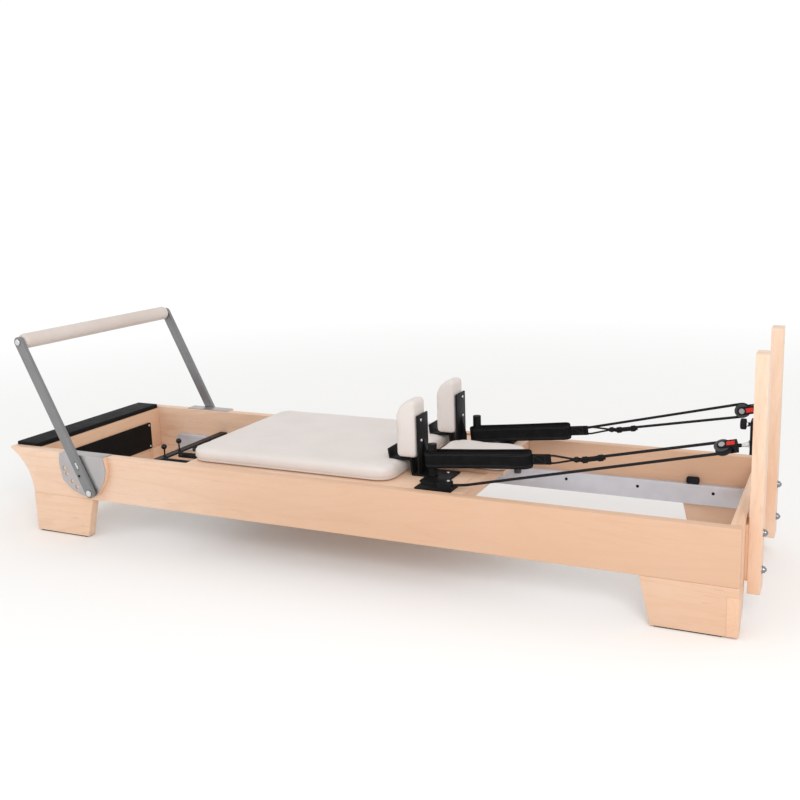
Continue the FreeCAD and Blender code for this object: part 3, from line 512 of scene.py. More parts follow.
def stitched(name, lines, thread, pitch=0.0042, long=0.003, thick=0.00045):
    """Rows of stitches along lines of points, as one mesh."""
    points, edges = [], []
    for line in lines:
        edges += [(len(points) + step, len(points) + step + 1) for step in range(len(line) - 1)]
        points += line
    base = bpy.data.meshes.new(name + "_line")
    base.from_pydata(points, edges, [])
    return grown(name, stitch_tree, base, {"Pitch": pitch, "Stitch": long, "Thread": thick, "Finish": thread})


def thread_of(name, rough, lint, low, high):
    """Sewing thread, a little uneven in colour."""
    made, tree, shader = finish_of(name, roughness=rough)
    fed(shader, "Base Color", mixed(tree, noise(tree, on_piece(tree), lint), low, high))
    return made


dark_thread = thread_of("dark_thread", 0.7, 700.0, (0.02, 0.02, 0.022), (0.07, 0.07, 0.075))
stitch_heights = (0.0185, -0.0185, 0.0145, -0.0145)
tab_run = (0.300, 0.312, 0.325, 0.338, 0.351, 0.362, 0.368)
tab_box = [(0.318, 0.011), (0.352, 0.011), (0.352, -0.011), (0.318, -0.011), (0.318, 0.011), (0.352, -0.011)]
for name, side in SIDES:
    band = swept(f"strap_loop_{name}", loop_path(name), soft_bar(0.0072, loop_tall), closed=True, around=24)
    stretched(f"strap_loop_{name}", band, webbing_weave, "hand_straps")
    loops = [loop_path(name, 0.0036, height) for height in stitch_heights]
    sewing = stitched(f"strap_stitches_{name}", [loop + loop[:1] for loop in loops], dark_thread)
    stretched(f"strap_stitches_{name}", sewing, None, "hand_straps")
    tab = [strap_start[name] + strap_turn[name] @ Vector((x, 0, 0)) for x in tab_run]
    folded = swept(f"strap_tab_{name}", tab, soft_bar(0.0052, 0.030), around=20)
    stretched(f"strap_tab_{name}", folded, webbing_weave, "hand_straps")
    crosses = [[strap_start[name] + strap_turn[name] @ Vector((x, 0.0028 * way, z)) for x, z in tab_box]
               for way in (1, -1)]
    stretched(f"tab_stitches_{name}", stitched(f"tab_stitches_{name}", crosses, dark_thread), None, "hand_straps")

# ---------------------------------------------------------------- wooden frame
# Solid rock maple boards, 30 mm thick, glued and screwed from inside: two side rails with a coved
# foot end, tapered legs, the end boards. Every edge is eased and the wood has a clear satin oil.

GRAIN = {"x": (1.0, 9.0, 9.0), "y": (9.0, 1.0, 9.0), "z": (9.0, 9.0, 1.0)}


def maple(name, along, warmth=0.0, offset=0.0, painted_head_shade=0.0):
    """Oiled maple with its grain along one axis; the last value sets how much painted shade darkens it towards the
    head end.
    """
    made, tree, shader = finish_of(name, roughness=0.42, coat_weight=0.12, coat_roughness=0.3)
    place = on_piece(tree)
    board = wire(tree, "ShaderNodeMapping", {"Vector": place, "Location": (offset, offset, offset),
                                             "Scale": GRAIN[along]}).outputs[0]
    clouds = noise(tree, place, 2.1, 3.0)
    growth = noise(tree, board, 0.9, Distortion=0.5)
    rings = figured(tree, "SINE", figured(tree, "MULTIPLY", growth, 70.0))
    fibres = noise(tree, board, 38.0, 5.0, Roughness=0.6)
    body = mixed(tree, spread(tree, clouds, 0.3, 0.7, warmth, min(1.0, warmth + 0.75)),
                 (0.86, 0.655, 0.515), (0.775, 0.50, 0.335))
    for figure, low, high, share, colour in (
            (rings, 0.2, 1.0, 0.22, (0.67, 0.40, 0.24)),
            (fibres, 0.42, 0.75, 0.34, (0.71, 0.45, 0.29)),
            (noise(tree, board, 17.0, 1.0), 0.68, 0.76, 0.36, (0.58, 0.33, 0.19)),
            (noise(tree, board, 2.3, Distortion=1.2), 0.6, 0.75, 0.35, (0.62, 0.33, 0.17))):
        body = mixed(tree, spread(tree, figure, low, high, 0.0, share), body, colour)
    # Painted shade: the wood gets darker and browner towards the head end.
    if painted_head_shade:
        length = wire(tree, "ShaderNodeSeparateXYZ", {0: place}).outputs["X"]
        body = mixed(tree, spread(tree, length, -1.0, -0.1, 0.0, painted_head_shade), body, (0.63, 0.38, 0.24))
    fed(shader, "Base Color", body)
    fed(shader, "Roughness", spread(tree, fibres, 0.3, 0.8, 0.36, 0.55))
    raised(tree, shader, fibres, 0.00035)
    return made


def cad_surface(node):
    """A clean copy of a CAD node's surface: corners merged, flat faces whole."""
    form = bmesh.new()
    form.from_mesh(frame["nodes"][node].data)
    bmesh.ops.remove_doubles(form, verts=form.verts, dist=1e-5)
    bmesh.ops.dissolve_limit(form, angle_limit=math.radians(0.6), verts=form.verts, edges=form.edges)
    return form


def softly_shaded(mesh, corner):
    """Smooth shading, apart from the edges sharper than a corner angle."""
    mesh.shade_smooth()
    mesh.set_sharp_from_angle(angle=math.radians(corner))
    return mesh


def eased_mesh(name, form, width, segments=3, corner=28):
    """Round the edges sharper than a corner angle and smooth what is left."""
    carrier = placed(name + "_carrier", as_mesh(name, form, turn_out=False))
    easing = carrier.modifiers.new("easing", "BEVEL")
    easing.width = width
    easing.segments = segments
    easing.limit_method = "ANGLE"
    easing.angle_limit = math.radians(corner)
    easing.use_clamp_overlap = True
    made = result_of(carrier)
    bpy.data.objects.remove(carrier)
    made.name = name
    return softly_shaded(made, 32)


def eased(node, width, material, segments=3):
    """A CAD node with eased edges, standing in for the sharp one."""
    name = f"finished_{node}"
    finished(name, eased_mesh(name, cad_surface(node), width, segments), material, [node])


maple_rails = maple("maple_rails", "x", 0.02, 0.0, 0.72)
maple_legs = maple("maple_legs", "x", 0.1, 3.1, 0.5)
maple_cross = maple("maple_cross_boards", "y", 0.35, 5.7)
maple_warm = maple("maple_warm", "y", 0.95, 2.3)
maple_upright = maple("maple_uprights", "z", 0.12, 8.3)
eased("side_rails", 0.0022, maple_rails)
eased("foot_leg_sides", 0.0012, maple_legs)
eased("head_leg_sides", 0.0008, maple_legs)
eased("foot_leg_ends", 0.0018, maple_warm)
eased("head_leg_ends", 0.0010, maple_warm)
eased("foot_end_board", 0.0022, maple_warm)
eased("head_end_board", 0.0022, maple_cross)

# A batten ties the two foot legs together under the foot end board.
batten_thick, batten_tall, batten_inset, batten_lap, leg_board = 0.022, 0.055, 0.012, 0.004, 0.070
board_low, board_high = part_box("foot_end_board")
leg_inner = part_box("foot_leg_ends")[1].y - leg_board
form = bmesh.new()
for vert in bmesh.ops.create_cube(form, size=1.0)["verts"]:
    vert.co = Vector((board_high.x - batten_inset + vert.co.x * batten_thick,
                      vert.co.y * 2 * (leg_inner + batten_lap),
                      board_low.z - batten_tall / 2 + vert.co.z * batten_tall))
finished("foot_end_batten", eased_mesh("foot_end_batten", form, 0.0018), maple_warm, (), "frame")

# ---------------------------------------------------------------- floor pads, platform and panel
# Rubber pads glued under the legs, the black rubber-faced standing platform across the foot end, and
# the black plastic panel that closes the foot end inside, held by four pan-head screws.


def pebbled(name, low, high, rough, scale=900.0, depth=0.0003, **values):
    """A dark moulded or coated surface with a fine pebble and faint scuffs."""
    made, tree, shader = finish_of(name, **{"specular_ior_level": 0.10, **values})
    place = on_piece(tree)
    scuffs = noise(tree, place, 22.0, 6.0, Roughness=0.7)
    fed(shader, "Base Color", mixed(tree, spread(tree, scuffs, 0.35, 0.75), low, high))
    fed(shader, "Roughness", spread(tree, scuffs, 0.3, 0.7, *rough))
    raised(tree, shader, noise(tree, place, scale, 3.0), depth)
    return made


foot_rubber = pebbled("foot_rubber", (0.012, 0.012, 0.013), (0.03, 0.03, 0.032), (0.7, 0.9))
deck_rubber = pebbled("platform_rubber", (0.006, 0.0055, 0.006), (0.014, 0.012, 0.013), (0.5, 0.72), 420.0, 0.0006)
panel_plastic = pebbled("panel_plastic", (0.004, 0.0037, 0.0035), (0.010, 0.0095, 0.009), (0.4, 0.6))
eased("foot_pads", 0.0008, foot_rubber)
eased("standing_platform", 0.003, deck_rubber)
eased("foot_end_panel", 0.0012, panel_plastic)


def brushed(name, color, rough, along=(1.0, 40.0, 40.0), metallic=1.0, depth=0.00012):
    """Metal with fine drawn lines along one axis and a little tarnish."""
    made, tree, shader = finish_of(name, metallic=metallic)
    place = on_piece(tree)
    drawn = wire(tree, "ShaderNodeMapping", {"Vector": place, "Scale": along})
    lines = noise(tree, drawn.outputs[0], 28.0, 4.0)
    tarnish = spread(tree, noise(tree, place, 14.0, 4.0), 0.35, 0.7)
    fed(shader, "Base Color", mixed(tree, tarnish, color, tuple(part * 0.9 for part in color)))
    fed(shader, "Roughness", spread(tree, lines, 0.3, 0.7, *rough))
    raised(tree, shader, lines, depth)
    return made


steel = brushed("bright_steel", (0.72, 0.72, 0.73), (0.2, 0.36))
MM = 0.001


def lofted(form, rings, smooth=True, capped=True):
    """Join each ring of corners to the next, and close the two ends."""
    for near, far in zip(rings, rings[1:]):
        for step in range(len(near)):
            after = (step + 1) % len(near)
            form.faces.new((near[step], near[after], far[after], far[step])).smooth = smooth
    if capped:
        form.faces.new(rings[0])
        form.faces.new(rings[-1])


def turned_head(name, profile, sides=20):
    """A small turned part: (radius, height) pairs in mm, from its middle outwards, round Z."""
    form = bmesh.new()
    rings = [[form.verts.new((0, 0, profile[0][1] * MM))]]
    for radius, height in profile[1:]:
        angles = [2 * math.pi * step / sides for step in range(sides)]
        rings.append([form.verts.new((radius * MM * math.cos(angle), radius * MM * math.sin(angle), height * MM))
                      for angle in angles])
    for inner, outer in zip(rings, rings[1:]):
        for step in range(sides):
            after = (step + 1) % sides
            near = inner if len(inner) == 1 else [inner[after], inner[step]]
            form.faces.new([*near, outer[step], outer[after]])
    form.faces.new(rings[-1])
    head = placed(name, softly_shaded(as_mesh(name, form), 38))
    head.hide_render = True
    return head


fastener_tree, given = geometry_tree("fasteners", Object="Head", Material="Finish")
spots = wire(fastener_tree, "GeometryNodeMeshToPoints", {"Mesh": given["Geometry"]})
aims = wire(fastener_tree, "GeometryNodeInputNamedAttribute", {"Name": "aim"}, data_type="FLOAT_VECTOR")
facing = wire(fastener_tree, "FunctionNodeAlignRotationToVector", {"Vector": aims.outputs[0]}, axis="Z")
heads = wire(fastener_tree, "GeometryNodeObjectInfo", {"Object": given["Head"]})
driven = wire(fastener_tree, "GeometryNodeInstanceOnPoints",
              {"Points": spots.outputs[0], "Instance": heads.outputs["Geometry"], "Rotation": facing.outputs[0]})
ended(fastener_tree, given, driven.outputs[0])


def planted(name, head, places, material, stands_for=(), body=None):
    """A piece with the same head at each (place, outward direction)."""
    base = bpy.data.meshes.new(name + "_spots")
    base.from_pydata([place for place, _ in places], [], [])
    aim = base.attributes.new("aim", "FLOAT_VECTOR", "POINT")
    aim.data.foreach_set("vector", [part for _, way in places for part in way])
    made = grown(name, fastener_tree, base, {"Head": head, "Finish": material})
    finished(name, softly_shaded(made, 38), None, stands_for, body)


def solid_spots(node):
    """The middle and box of each separate solid in a CAD node, always in the same order."""
    form = cad_surface(node)
    left, found = set(form.verts), []
    while left:
        group, front = set(), [left.pop()]
        while front:
            vert = front.pop()
            group.add(vert)
            for edge in vert.link_edges:
                other = edge.other_vert(vert)
                if other in left:
                    left.remove(other)
                    front.append(other)
        low = Vector(tuple(min(v.co[axis] for v in group) for axis in range(3)))
        high = Vector(tuple(max(v.co[axis] for v in group) for axis in range(3)))
        found.append(((low + high) / 2, low, high))
    form.free()
    return sorted(found, key=lambda part: tuple(round(at, 5) for at in part[0]))


pan_head = turned_head("pan_head", [(0, 0.9), (1.3, 0.9), (1.5, 2.0), (2.9, 1.7), (4.0, 0.6), (4.1, 0)])
panel_spots = [((low.x, middle.y, middle.z), (1, 0, 0)) for middle, low, _ in solid_spots("panel_screws")]
planted("panel_screw_heads", pan_head, panel_spots, steel, ["panel_screws"])

# ---------------------------------------------------------------- pulley risers
# Two maple uprights bolted through the head end board with a thin packing board between. The bolts
# have a washer and a chromed dome nut on the back of each riser.

eased("risers", 0.0035, maple_upright)
black_steel = pebbled("black_powder_coat", (0.006, 0.006, 0.0065), (0.015, 0.015, 0.016), (0.35, 0.55), 1400.0,
                      0.00015)
eased("riser_mount_plates", 0.0008, maple_warm)
dome_nut = turned_head("dome_nut", [(0, 12), (2.5, 11.7), (4.6, 10.6), (6.0, 8.8), (6.4, 7.6), (8.6, 7.4),
                                    (9.0, 6.8), (9.0, 2.1), (10.6, 1.9), (11, 1.2), (11, 0)], 24)
nut_steel = brushed("nut_steel", (0.30, 0.30, 0.31), (0.22, 0.38))
riser_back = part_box("risers")[1].x
riser_bolts = solid_spots("riser_bolts")
nut_spots = [((riser_back, middle.y, middle.z), (1, 0, 0)) for middle, _, _ in riser_bolts]
planted("dome_nuts", dome_nut, nut_spots, nut_steel, ["riser_bolts"])
head_tall = 4
bolt_head = turned_head("carriage_bolt", [(0, head_tall), (4, 3.7), (8, 2.2), (9.8, 0.6), (10, 0)], 24)
bolt_spots = [((low.x + head_tall * MM, middle.y, middle.z), (-1, 0, 0)) for middle, low, _ in riser_bolts]
planted("bolt_heads", bolt_head, bolt_spots, steel, ["riser_bolts"])

# ---------------------------------------------------------------- tracks and stops
# Extruded aluminium box tracks, clear anodised, screwed along the inside of each rail with black
# button-head screws. Rubber stops end the carriage's run on each track.

track_alloy = brushed("anodised_track", (0.66, 0.67, 0.73), (0.34, 0.5), (1.0, 30.0, 30.0), 0.35)
eased("tracks", 0.0010, track_alloy, 2)
button_head = turned_head("button_head", [(0, 0.5), (1.6, 0.5), (1.8, 2.0), (3.6, 1.7), (4.8, 0.7), (5.0, 0)])
button_spots = []
for middle, low, high in solid_spots("track_screws"):
    inward = -math.copysign(1, middle.y)
    button_spots.append(((middle.x, high.y if inward < 0 else low.y, middle.z), (0, inward, 0)))
planted("track_button_heads", button_head, button_spots, black_steel, ["track_screws"])
eased("stop_bumpers", 0.007, foot_rubber, 5)

# ---------------------------------------------------------------- springs and spring bar
# A flat steel bar across the tracks holds the foot ends of five close-wound springs, dipped black.
# Two ball-topped plungers lock the bar in its seats. The other ends hook on a plate below the deck.

bar_steel = pebbled("bar_black_steel", (0.006, 0.006, 0.0065), (0.016, 0.016, 0.017), (0.3, 0.5), 1200.0, 0.00015)
seat_alloy = brushed("seat_alloy", (0.62, 0.62, 0.66), (0.3, 0.5))
ball_plastic = pebbled("ball_phenolic", (0.008, 0.008, 0.009), (0.014, 0.014, 0.015), (0.14, 0.24), 500.0, 0.00004,
                       coat_weight=0.4, coat_roughness=0.08)
eased("spring_bar", 0.0012, bar_steel)
eased("spring_bar_seats", 0.0012, seat_alloy)
eased("spring_anchor", 0.0010, black_steel)
for name, _ in SIDES:
    eased(f"bar_plunger_{name}", 0.0005, ball_plastic, 2)

coil_tree, given = geometry_tree("coils", Float="Turns Coil Wire Length", Material="Finish")
winding = wire(coil_tree, "GeometryNodeCurveSpiral",
               {"Resolution": 14, "Rotations": given["Turns"], "Start Radius": given["Coil"],
                "End Radius": given["Coil"], "Height": given["Length"]})
section = wire(coil_tree, "GeometryNodeCurvePrimitiveCircle", {"Resolution": 7, "Radius": given["Wire"]})
wound = wire(coil_tree, "GeometryNodeCurveToMesh",
             {"Curve": winding.outputs[0], "Profile Curve": section.outputs[0], "Fill Caps": True})
soft = wire(coil_tree, "GeometryNodeSetShadeSmooth", {"Geometry": wound.outputs[0], "Shade Smooth": True})
laid = wire(coil_tree, "GeometryNodeTransform", {"Geometry": soft.outputs[0], "Rotation": (0, math.pi / 2, 0)})
spots = wire(coil_tree, "GeometryNodeMeshToPoints", {"Mesh": given["Geometry"]})
hung = wire(coil_tree, "GeometryNodeInstanceOnPoints", {"Points": spots.outputs[0], "Instance": laid.outputs[0]})
ended(coil_tree, given, hung.outputs[0])

spring_wire = pebbled("spring_wire", (0.012, 0.012, 0.014), (0.04, 0.04, 0.043), (0.28, 0.45), 600.0, 0.0001,
                      metallic=0.4)
hook_room, eye_radius, eye_steps, wire_radius = 0.018, 0.0072, 20, 0.0013
spring_low, spring_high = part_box("springs")
spring_z = (spring_low.z + spring_high.z) / 2
spring_rows = sorted({round(middle.y, 4) for middle, _, _ in solid_spots("springs")})
coil_starts = bpy.data.meshes.new("coil_starts")
coil_starts.from_pydata([(spring_low.x + hook_room, y, spring_z) for y in spring_rows], [], [])
coil_length = spring_high.x - spring_low.x - 2 * hook_room
coils = grown("coil_springs", coil_tree, coil_starts,
              {"Turns": 92.0, "Coil": 0.0087, "Wire": wire_radius, "Length": coil_length, "Finish": spring_wire})
coil_springs = finished("coil_springs", coils, None, ["springs"], "stretch")
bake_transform(coil_springs)
eye_angles = [2 * math.pi * step / eye_steps for step in range(eye_steps)]
for row, y in enumerate(spring_rows):
    for end, start, way, body in (("foot", spring_low.x, 1, "frame"), ("head", spring_high.x, -1, "carriage")):
        eye = [Vector((start + way * (0.0085 - eye_radius * math.cos(angle)), y,
                       spring_z + eye_radius * math.sin(angle))) for angle in eye_angles]
        hook = swept(f"spring_eye_{end}_{row}", eye, round_cord(wire_radius), closed=True, around=10)
        finished(f"spring_eye_{end}_{row}", hook, spring_wire, ["springs"], body)

# ---------------------------------------------------------------- footbar
# Grey powder-coated flat arms joined by a steel tube under an upholstered grip. The arms turn on
# stainless brackets that wrap over the rail; notches in the brackets set the bar's height.

bracket_steel = brushed("bracket_stainless", (0.52, 0.50, 0.50), (0.26, 0.42), (30.0, 30.0, 1.0))
arm_grey = brushed("arm_grey_coat", (0.235, 0.235, 0.24), (0.34, 0.5), (20.0, 20.0, 2.0), 0.45, 0.00008)
eased("footbar_spacers", 0.0018, maple("maple_spacers", "x", 0.45, 11.2))
eased("footbar_brackets", 0.0008, bracket_steel)
eased("footbar_pivots", 0.0012, steel)
eased("footbar_arms", 0.0016, arm_grey)
eased("footbar_core", 0.0010, steel)
eased("footbar_end_bolts", 0.0012, steel)


def vinyl(name, color, deep):
    """Off-white upholstery vinyl: fine leather grain, soft cloudy soiling, a little sheen."""
    made, tree, shader = finish_of(name, sheen_weight=0.08, sheen_roughness=0.4, coat_weight=0.05,
                                   coat_roughness=0.4)
    place = on_piece(tree)
    cells = wire(tree, "ShaderNodeTexVoronoi", {"Vector": place, "Scale": 620.0, "Randomness": 0.9}, feature="F1")
    soil = noise(tree, place, 6.0, 5.0, Roughness=0.6)
    creases = noise(tree, place, 26.0, 4.0, Distortion=0.8)
    fed(shader, "Base Color", mixed(tree, spread(tree, soil, 0.35, 0.7), color, deep))
    fed(shader, "Roughness", spread(tree, soil, 0.3, 0.7, 0.42, 0.58))
    grain = spread(tree, cells.outputs["Distance"], 0.0, 0.8)
    raised(tree, shader, figured(tree, "ADD", grain, creases), 0.00022)
    return made


grip_vinyl = vinyl("grip_vinyl", (0.70, 0.62, 0.57), (0.64, 0.55, 0.50))
pad_vinyl = vinyl("pad_vinyl", (0.715, 0.655, 0.625), (0.685, 0.625, 0.595))
pale_thread = thread_of("pale_thread", 0.65, 800.0, (0.62, 0.57, 0.51), (0.82, 0.77, 0.70))

# The grip's cover is pulled tight over foam: it narrows at both ends and puckers where it is tied in.
bar_low, bar_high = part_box("footbar_grip")
bar_axis = (bar_low + bar_high) / 2
bar_half = (bar_high.y - bar_low.y) / 2
bar_radius = (bar_high.z - bar_low.z) / 2
grip_rows, grip_around, seam_angle = 150, 48, math.pi * 1.35


def on_grip(angle, radius, along):
    """A point round the grip's axis."""
    return bar_axis + Vector((radius * math.cos(angle), along, radius * math.sin(angle)))


form = bmesh.new()
rings = []
for row in range(grip_rows + 1):
    along = -1 + 2 * row / grip_rows
    end = max(0.0, (abs(along) - 0.965) / 0.035)
    radius = bar_radius * (1 - 0.34 * end ** 2.2) * (1 - 0.006 * math.sin(along * 5.2) ** 2)
    ring = []
    for step in range(grip_around):
        angle = 2 * math.pi * step / grip_around
        pucker = 0.0006 * math.sin(angle * 12) * max(0.0, (abs(along) - 0.93) / 0.07)
        seam = 0.0011 * math.exp(-((angle - seam_angle) / 0.06) ** 2)
        ring.append(form.verts.new(on_grip(angle, radius + pucker - seam, along * bar_half)))
    rings.append(ring)
lofted(form, rings)
footbar_cover = finished("footbar_cover", as_mesh("footbar_cover", form), grip_vinyl, ["footbar_grip"])
seam_rows = [[on_grip(seam_angle + offset, bar_radius + 0.0001, share * bar_half) for share in (-0.93, 0.0, 0.93)]
             for offset in (0.075, -0.075)]
finished("footbar_cover_stitches", stitched("footbar_cover_stitches", seam_rows, pale_thread, 0.005, 0.0036),
         None, ["footbar_grip"])

# A spring button and a sliding lock bar sit in each arm just above its pivot.
pivot_low, pivot_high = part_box("footbar_pivots")
pivot = Vector(((pivot_low.x + pivot_high.x) / 2, 0, (pivot_low.z + pivot_high.z) / 2))
arm_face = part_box("footbar_arms")[1].y
arm_way = Vector((bar_axis.x - pivot.x, 0, bar_axis.z - pivot.z)).normalized()
arm_side = Vector((arm_way.z, 0, -arm_way.x))
button_up, button_aside, lock_up, lock_size = 0.065, 0.008, 0.099, (0.0064, 0.0126, 0.024)
lock_button = turned_head("lock_button", [(0, 2.6), (2.6, 2.2), (3.6, 1.0), (3.8, -9)])
button_places = [(pivot + arm_way * button_up - arm_side * button_aside + Vector((0, side * arm_face, 0)),
                  (0, side, 0)) for _, side in SIDES]
planted("lock_buttons", lock_button, button_places, ball_plastic, (), "footbar")
form = bmesh.new()
for _, side in SIDES:
    centre = pivot + arm_way * lock_up + Vector((0, side * (arm_face - 0.006), 0))
    for vert in bmesh.ops.create_cube(form, size=1.0)["verts"]:
        at = vert.co
        vert.co = (centre + arm_side * at.x * lock_size[0] + arm_way * at.z * lock_size[2]
                   + Vector((0, at.y * lock_size[1], 0)))
finished("lock_bars", eased_mesh("lock_bars", form, 0.0012), steel, (), "footbar")

# ---------------------------------------------------------------- carriage
# A maple frame round a plywood deck, on nylon wheels that run on top of the tracks and side rollers
# that run against them, in zinc-plated steel brackets.

eased("carriage_deck", 0.0015, maple("maple_deck", "x", 0.2, 14.5))
eased("carriage_end_boards", 0.0020, maple_cross)
eased("carriage_rails", 0.0018, maple_legs)
wheel_nylon = pebbled("wheel_nylon", (0.05, 0.05, 0.053), (0.085, 0.085, 0.09), (0.3, 0.5), 800.0, 0.0001)
for end in ("foot", "head"):
    eased(f"wheels_{end}", 0.0018, wheel_nylon)
    for name, _ in SIDES:
        eased(f"guide_roller_{end}_{name}", 0.0012, wheel_nylon)
eased("wheel_brackets", 0.0010, seat_alloy)

# ---------------------------------------------------------------- upholstery
# Firm foam on plywood under off-white vinyl: the long carriage cushion, the headrest pad and the two
# shoulder pads. Each is a little proud in the middle, with a sewn seam where the side meets the base.

fill_frames = 20


def blown_up(name, form, rounding, voxel, pressure, cap, held):
    """Rounded, remeshed and filled as cloth: held(point) pins it, cap limits how far it swells."""
    blank = eased_mesh(name + "_blank", form, rounding, 4, 50)
    carrier = placed(name + "_carrier", blank)
    remesh = carrier.modifiers.new("remesh", "REMESH")
    remesh.mode = "VOXEL"
    remesh.voxel_size = voxel
    cover = result_of(carrier)
    carrier.modifiers.remove(remesh)
    carrier.data = cover
    start = [v.co.copy() for v in cover.vertices]
    pins = carrier.vertex_groups.new(name="held")
    pins.add([v.index for v in cover.vertices if held(v.co)], 1.0, "REPLACE")
    cloth = carrier.modifiers.new("cloth", "CLOTH")
    cloth.settings.quality = 4
    cloth.settings.mass = 0.4
    cloth.settings.tension_stiffness = cloth.settings.compression_stiffness = 12
    cloth.settings.bending_stiffness = 2.0
    cloth.settings.use_pressure = True
    cloth.settings.uniform_pressure_force = pressure
    cloth.settings.effector_weights.gravity = 0
    cloth.settings.vertex_group_mass = "held"
    cloth.point_cache.frame_start = 1
    cloth.point_cache.frame_end = fill_frames
    for step in range(1, fill_frames + 1):
        scene.frame_set(step)
    swollen = result_of(carrier)
    carrier.modifiers.remove(cloth)
    scene.frame_set(1)
    for vert, was in zip(swollen.vertices, start):
        move = vert.co - was
        vert.co = was + move * (min(move.length, cap) / max(move.length, 1e-9))
    carrier.data = swollen
    smooth = carrier.modifiers.new("smooth", "SMOOTH")
    smooth.factor = 0.5
    smooth.iterations = 6
    finer = carrier.modifiers.new("finer", "SUBSURF")
    finer.levels = finer.render_levels = 1
    made = result_of(carrier)
    bpy.data.objects.remove(carrier)
    made.name = name
    made.shade_smooth()
    return made


def shrunk(node, inset):
    """A CAD pad made smaller by an inset on each side, as the start of its cover."""
    form = cad_surface(node)
    parts = solid_spots(node)
    for vert in form.verts:
        middle, low, high = min(parts, key=lambda part: (part[0] - vert.co).length)
        for axis in range(3):
            half = (high[axis] - low[axis]) / 2
            vert.co[axis] = middle[axis] + (vert.co[axis] - middle[axis]) * (half - inset[axis]) / half
    return form


def girth_line(mesh, outline, inward):
    """Where rays from an outline, shot inwards, meet a cover: a seam's line on its surface."""
    tree = BVHTree.FromPolygons([v.co for v in mesh.vertices], [p.vertices for p in mesh.polygons])
    hits = [tree.ray_cast(point, inward(point)) for point in outline]
    return [hit[0] + hit[1] * 0.0003 for hit in hits if hit[0]]


def sewn_groove(mesh, distance, depth, width):
    """Pull the cover in along a seam; distance(point) says how far a point is from it."""
    normals = [v.normal.copy() for v in mesh.vertices]
    for vert, normal in zip(mesh.vertices, normals):
        vert.co -= normal * depth * math.exp(-(distance(vert.co) / width) ** 2)


def cushion_outline(low, high, height, corner, out):
    """Points round a rounded rectangle at one height, pushed outwards."""
    points = []
    corners = ((high.x - corner, high.y - corner), (low.x + corner, high.y - corner),
               (low.x + corner, low.y + corner), (high.x - corner, low.y + corner))
    for quarter, (x, y) in enumerate(corners):
        for step in range(13):
            angle = math.pi / 2 * (quarter + step / 12)
            points.append(Vector((x + (corner + out) * math.cos(angle), y + (corner + out) * math.sin(angle),
                                  height)))
    return evenly(points + points[:1], 0.012)


for node, corner, voxel, cap, rounding, seam_up in (("carriage_cushion", 0.055, 0.006, 0.0045, 0.013, 0.011),
                                                    ("headrest_pad", 0.045, 0.004, 0.0035, 0.009, 0.009)):
    low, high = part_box(node)
    name = f"{node}_cover"
    blank = shrunk(node, (0.003, 0.003, 0.0022))
    cover = blown_up(name, blank, rounding, voxel, 4.0, cap, lambda point: point.z < low.z + 0.006)
    seam_z = low.z + seam_up
    sewn_groove(cover, lambda point: point.z - seam_z, 0.0016, 0.0028)
    piece = finished(name, cover, pad_vinyl, [node])

    def inwards(point):
        """Straight in through the nearest side or corner."""
        core = Vector((min(max(point.x, low.x + corner), high.x - corner),
                       min(max(point.y, low.y + corner), high.y - corner), point.z))
        return (core - point).normalized()

    line = girth_line(cover, cushion_outline(low, high, seam_z + 0.0045, corner, 0.03), inwards)
    finished(f"{node}_stitches", stitched(f"{node}_stitches", [line], pale_thread, 0.0052, 0.0038, 0.0004),
             None, [node])

eased("headrest_board", 0.0015, maple_cross)
eased("headrest_hinge", 0.0006, steel, 2)

# Each shoulder pad has a seam round its edge on either side, held against the back plate.
groove_off, hoop_off, hoop_steps = 0.029, 0.0252, 60
shoulder_parts = solid_spots("shoulder_pads")
for name, side in SIDES:
    middle, low, high = next(part for part in shoulder_parts if part[0].y * side > 0)
    form = shrunk("shoulder_pads", (0.0022, 0.0022, 0.0022))
    bmesh.ops.delete(form, geom=[v for v in form.verts if v.co.y * side < 0], context="VERTS")
    cover = blown_up(f"shoulder_cover_{name}", form, 0.012, 0.004, 4.0, 0.0035,
                     lambda point: point.x > high.x - 0.006 or point.z < low.z + 0.006)
    for way in (1, -1):
        seam_y = middle.y + way * groove_off
        sewn_groove(cover, lambda point: point.y - seam_y, 0.0012, 0.0024)
    piece = finished(f"shoulder_cover_{name}", cover, pad_vinyl, ["shoulder_pads"])
    rows = []
    for way in (1, -1):
        seam_y = middle.y + way * hoop_off
        angles = [math.radians(-160 + 250 * step / hoop_steps) for step in range(hoop_steps + 1)]
        hoop = [Vector((middle.x - 0.12 * math.cos(angle), seam_y, middle.z + 0.16 * math.sin(angle)))
                for angle in angles]
        target = Vector((middle.x + 0.01, seam_y, middle.z - 0.01))
        rows.append([point for point in girth_line(cover, hoop, lambda point: (target - point).normalized())
                     if point.x < high.x - 0.008 and point.z > low.z + 0.01])
    sewing = stitched(f"shoulder_stitches_{name}", rows, pale_thread, 0.0046, 0.0034, 0.0004)
    finished(f"shoulder_stitches_{name}", sewing, None, ["shoulder_pads"])

# ---------------------------------------------------------------- shoulder rests, pegs and cleats
# Bent steel brackets, black powder coated, hold the shoulder pads and carry a turned plastic peg for
# the strap. Beside each one a cam cleat with a toothed cam grips the rope's tail.

eased("shoulder_brackets", 0.0014, black_steel)
eased("shoulder_plates", 0.0012, black_steel)
screw_spots = []
for middle, low, high in solid_spots("shoulder_screws"):
    if high.x - low.x < high.z - low.z:
        screw_spots.append(((low.x, middle.y, middle.z), (1, 0, 0)))
    else:
        screw_spots.append(((middle.x, middle.y, low.z), (0, 0, 1)))
planted("shoulder_screw_heads", button_head, screw_spots, steel, ["shoulder_screws"])
moulded = pebbled("moulded_black", (0.006, 0.006, 0.0065), (0.014, 0.014, 0.015), (0.38, 0.55), 700.0, 0.00012)
eased("strap_pegs", 0.0022, moulded)
eased("rope_cleats", 0.0014, moulded)

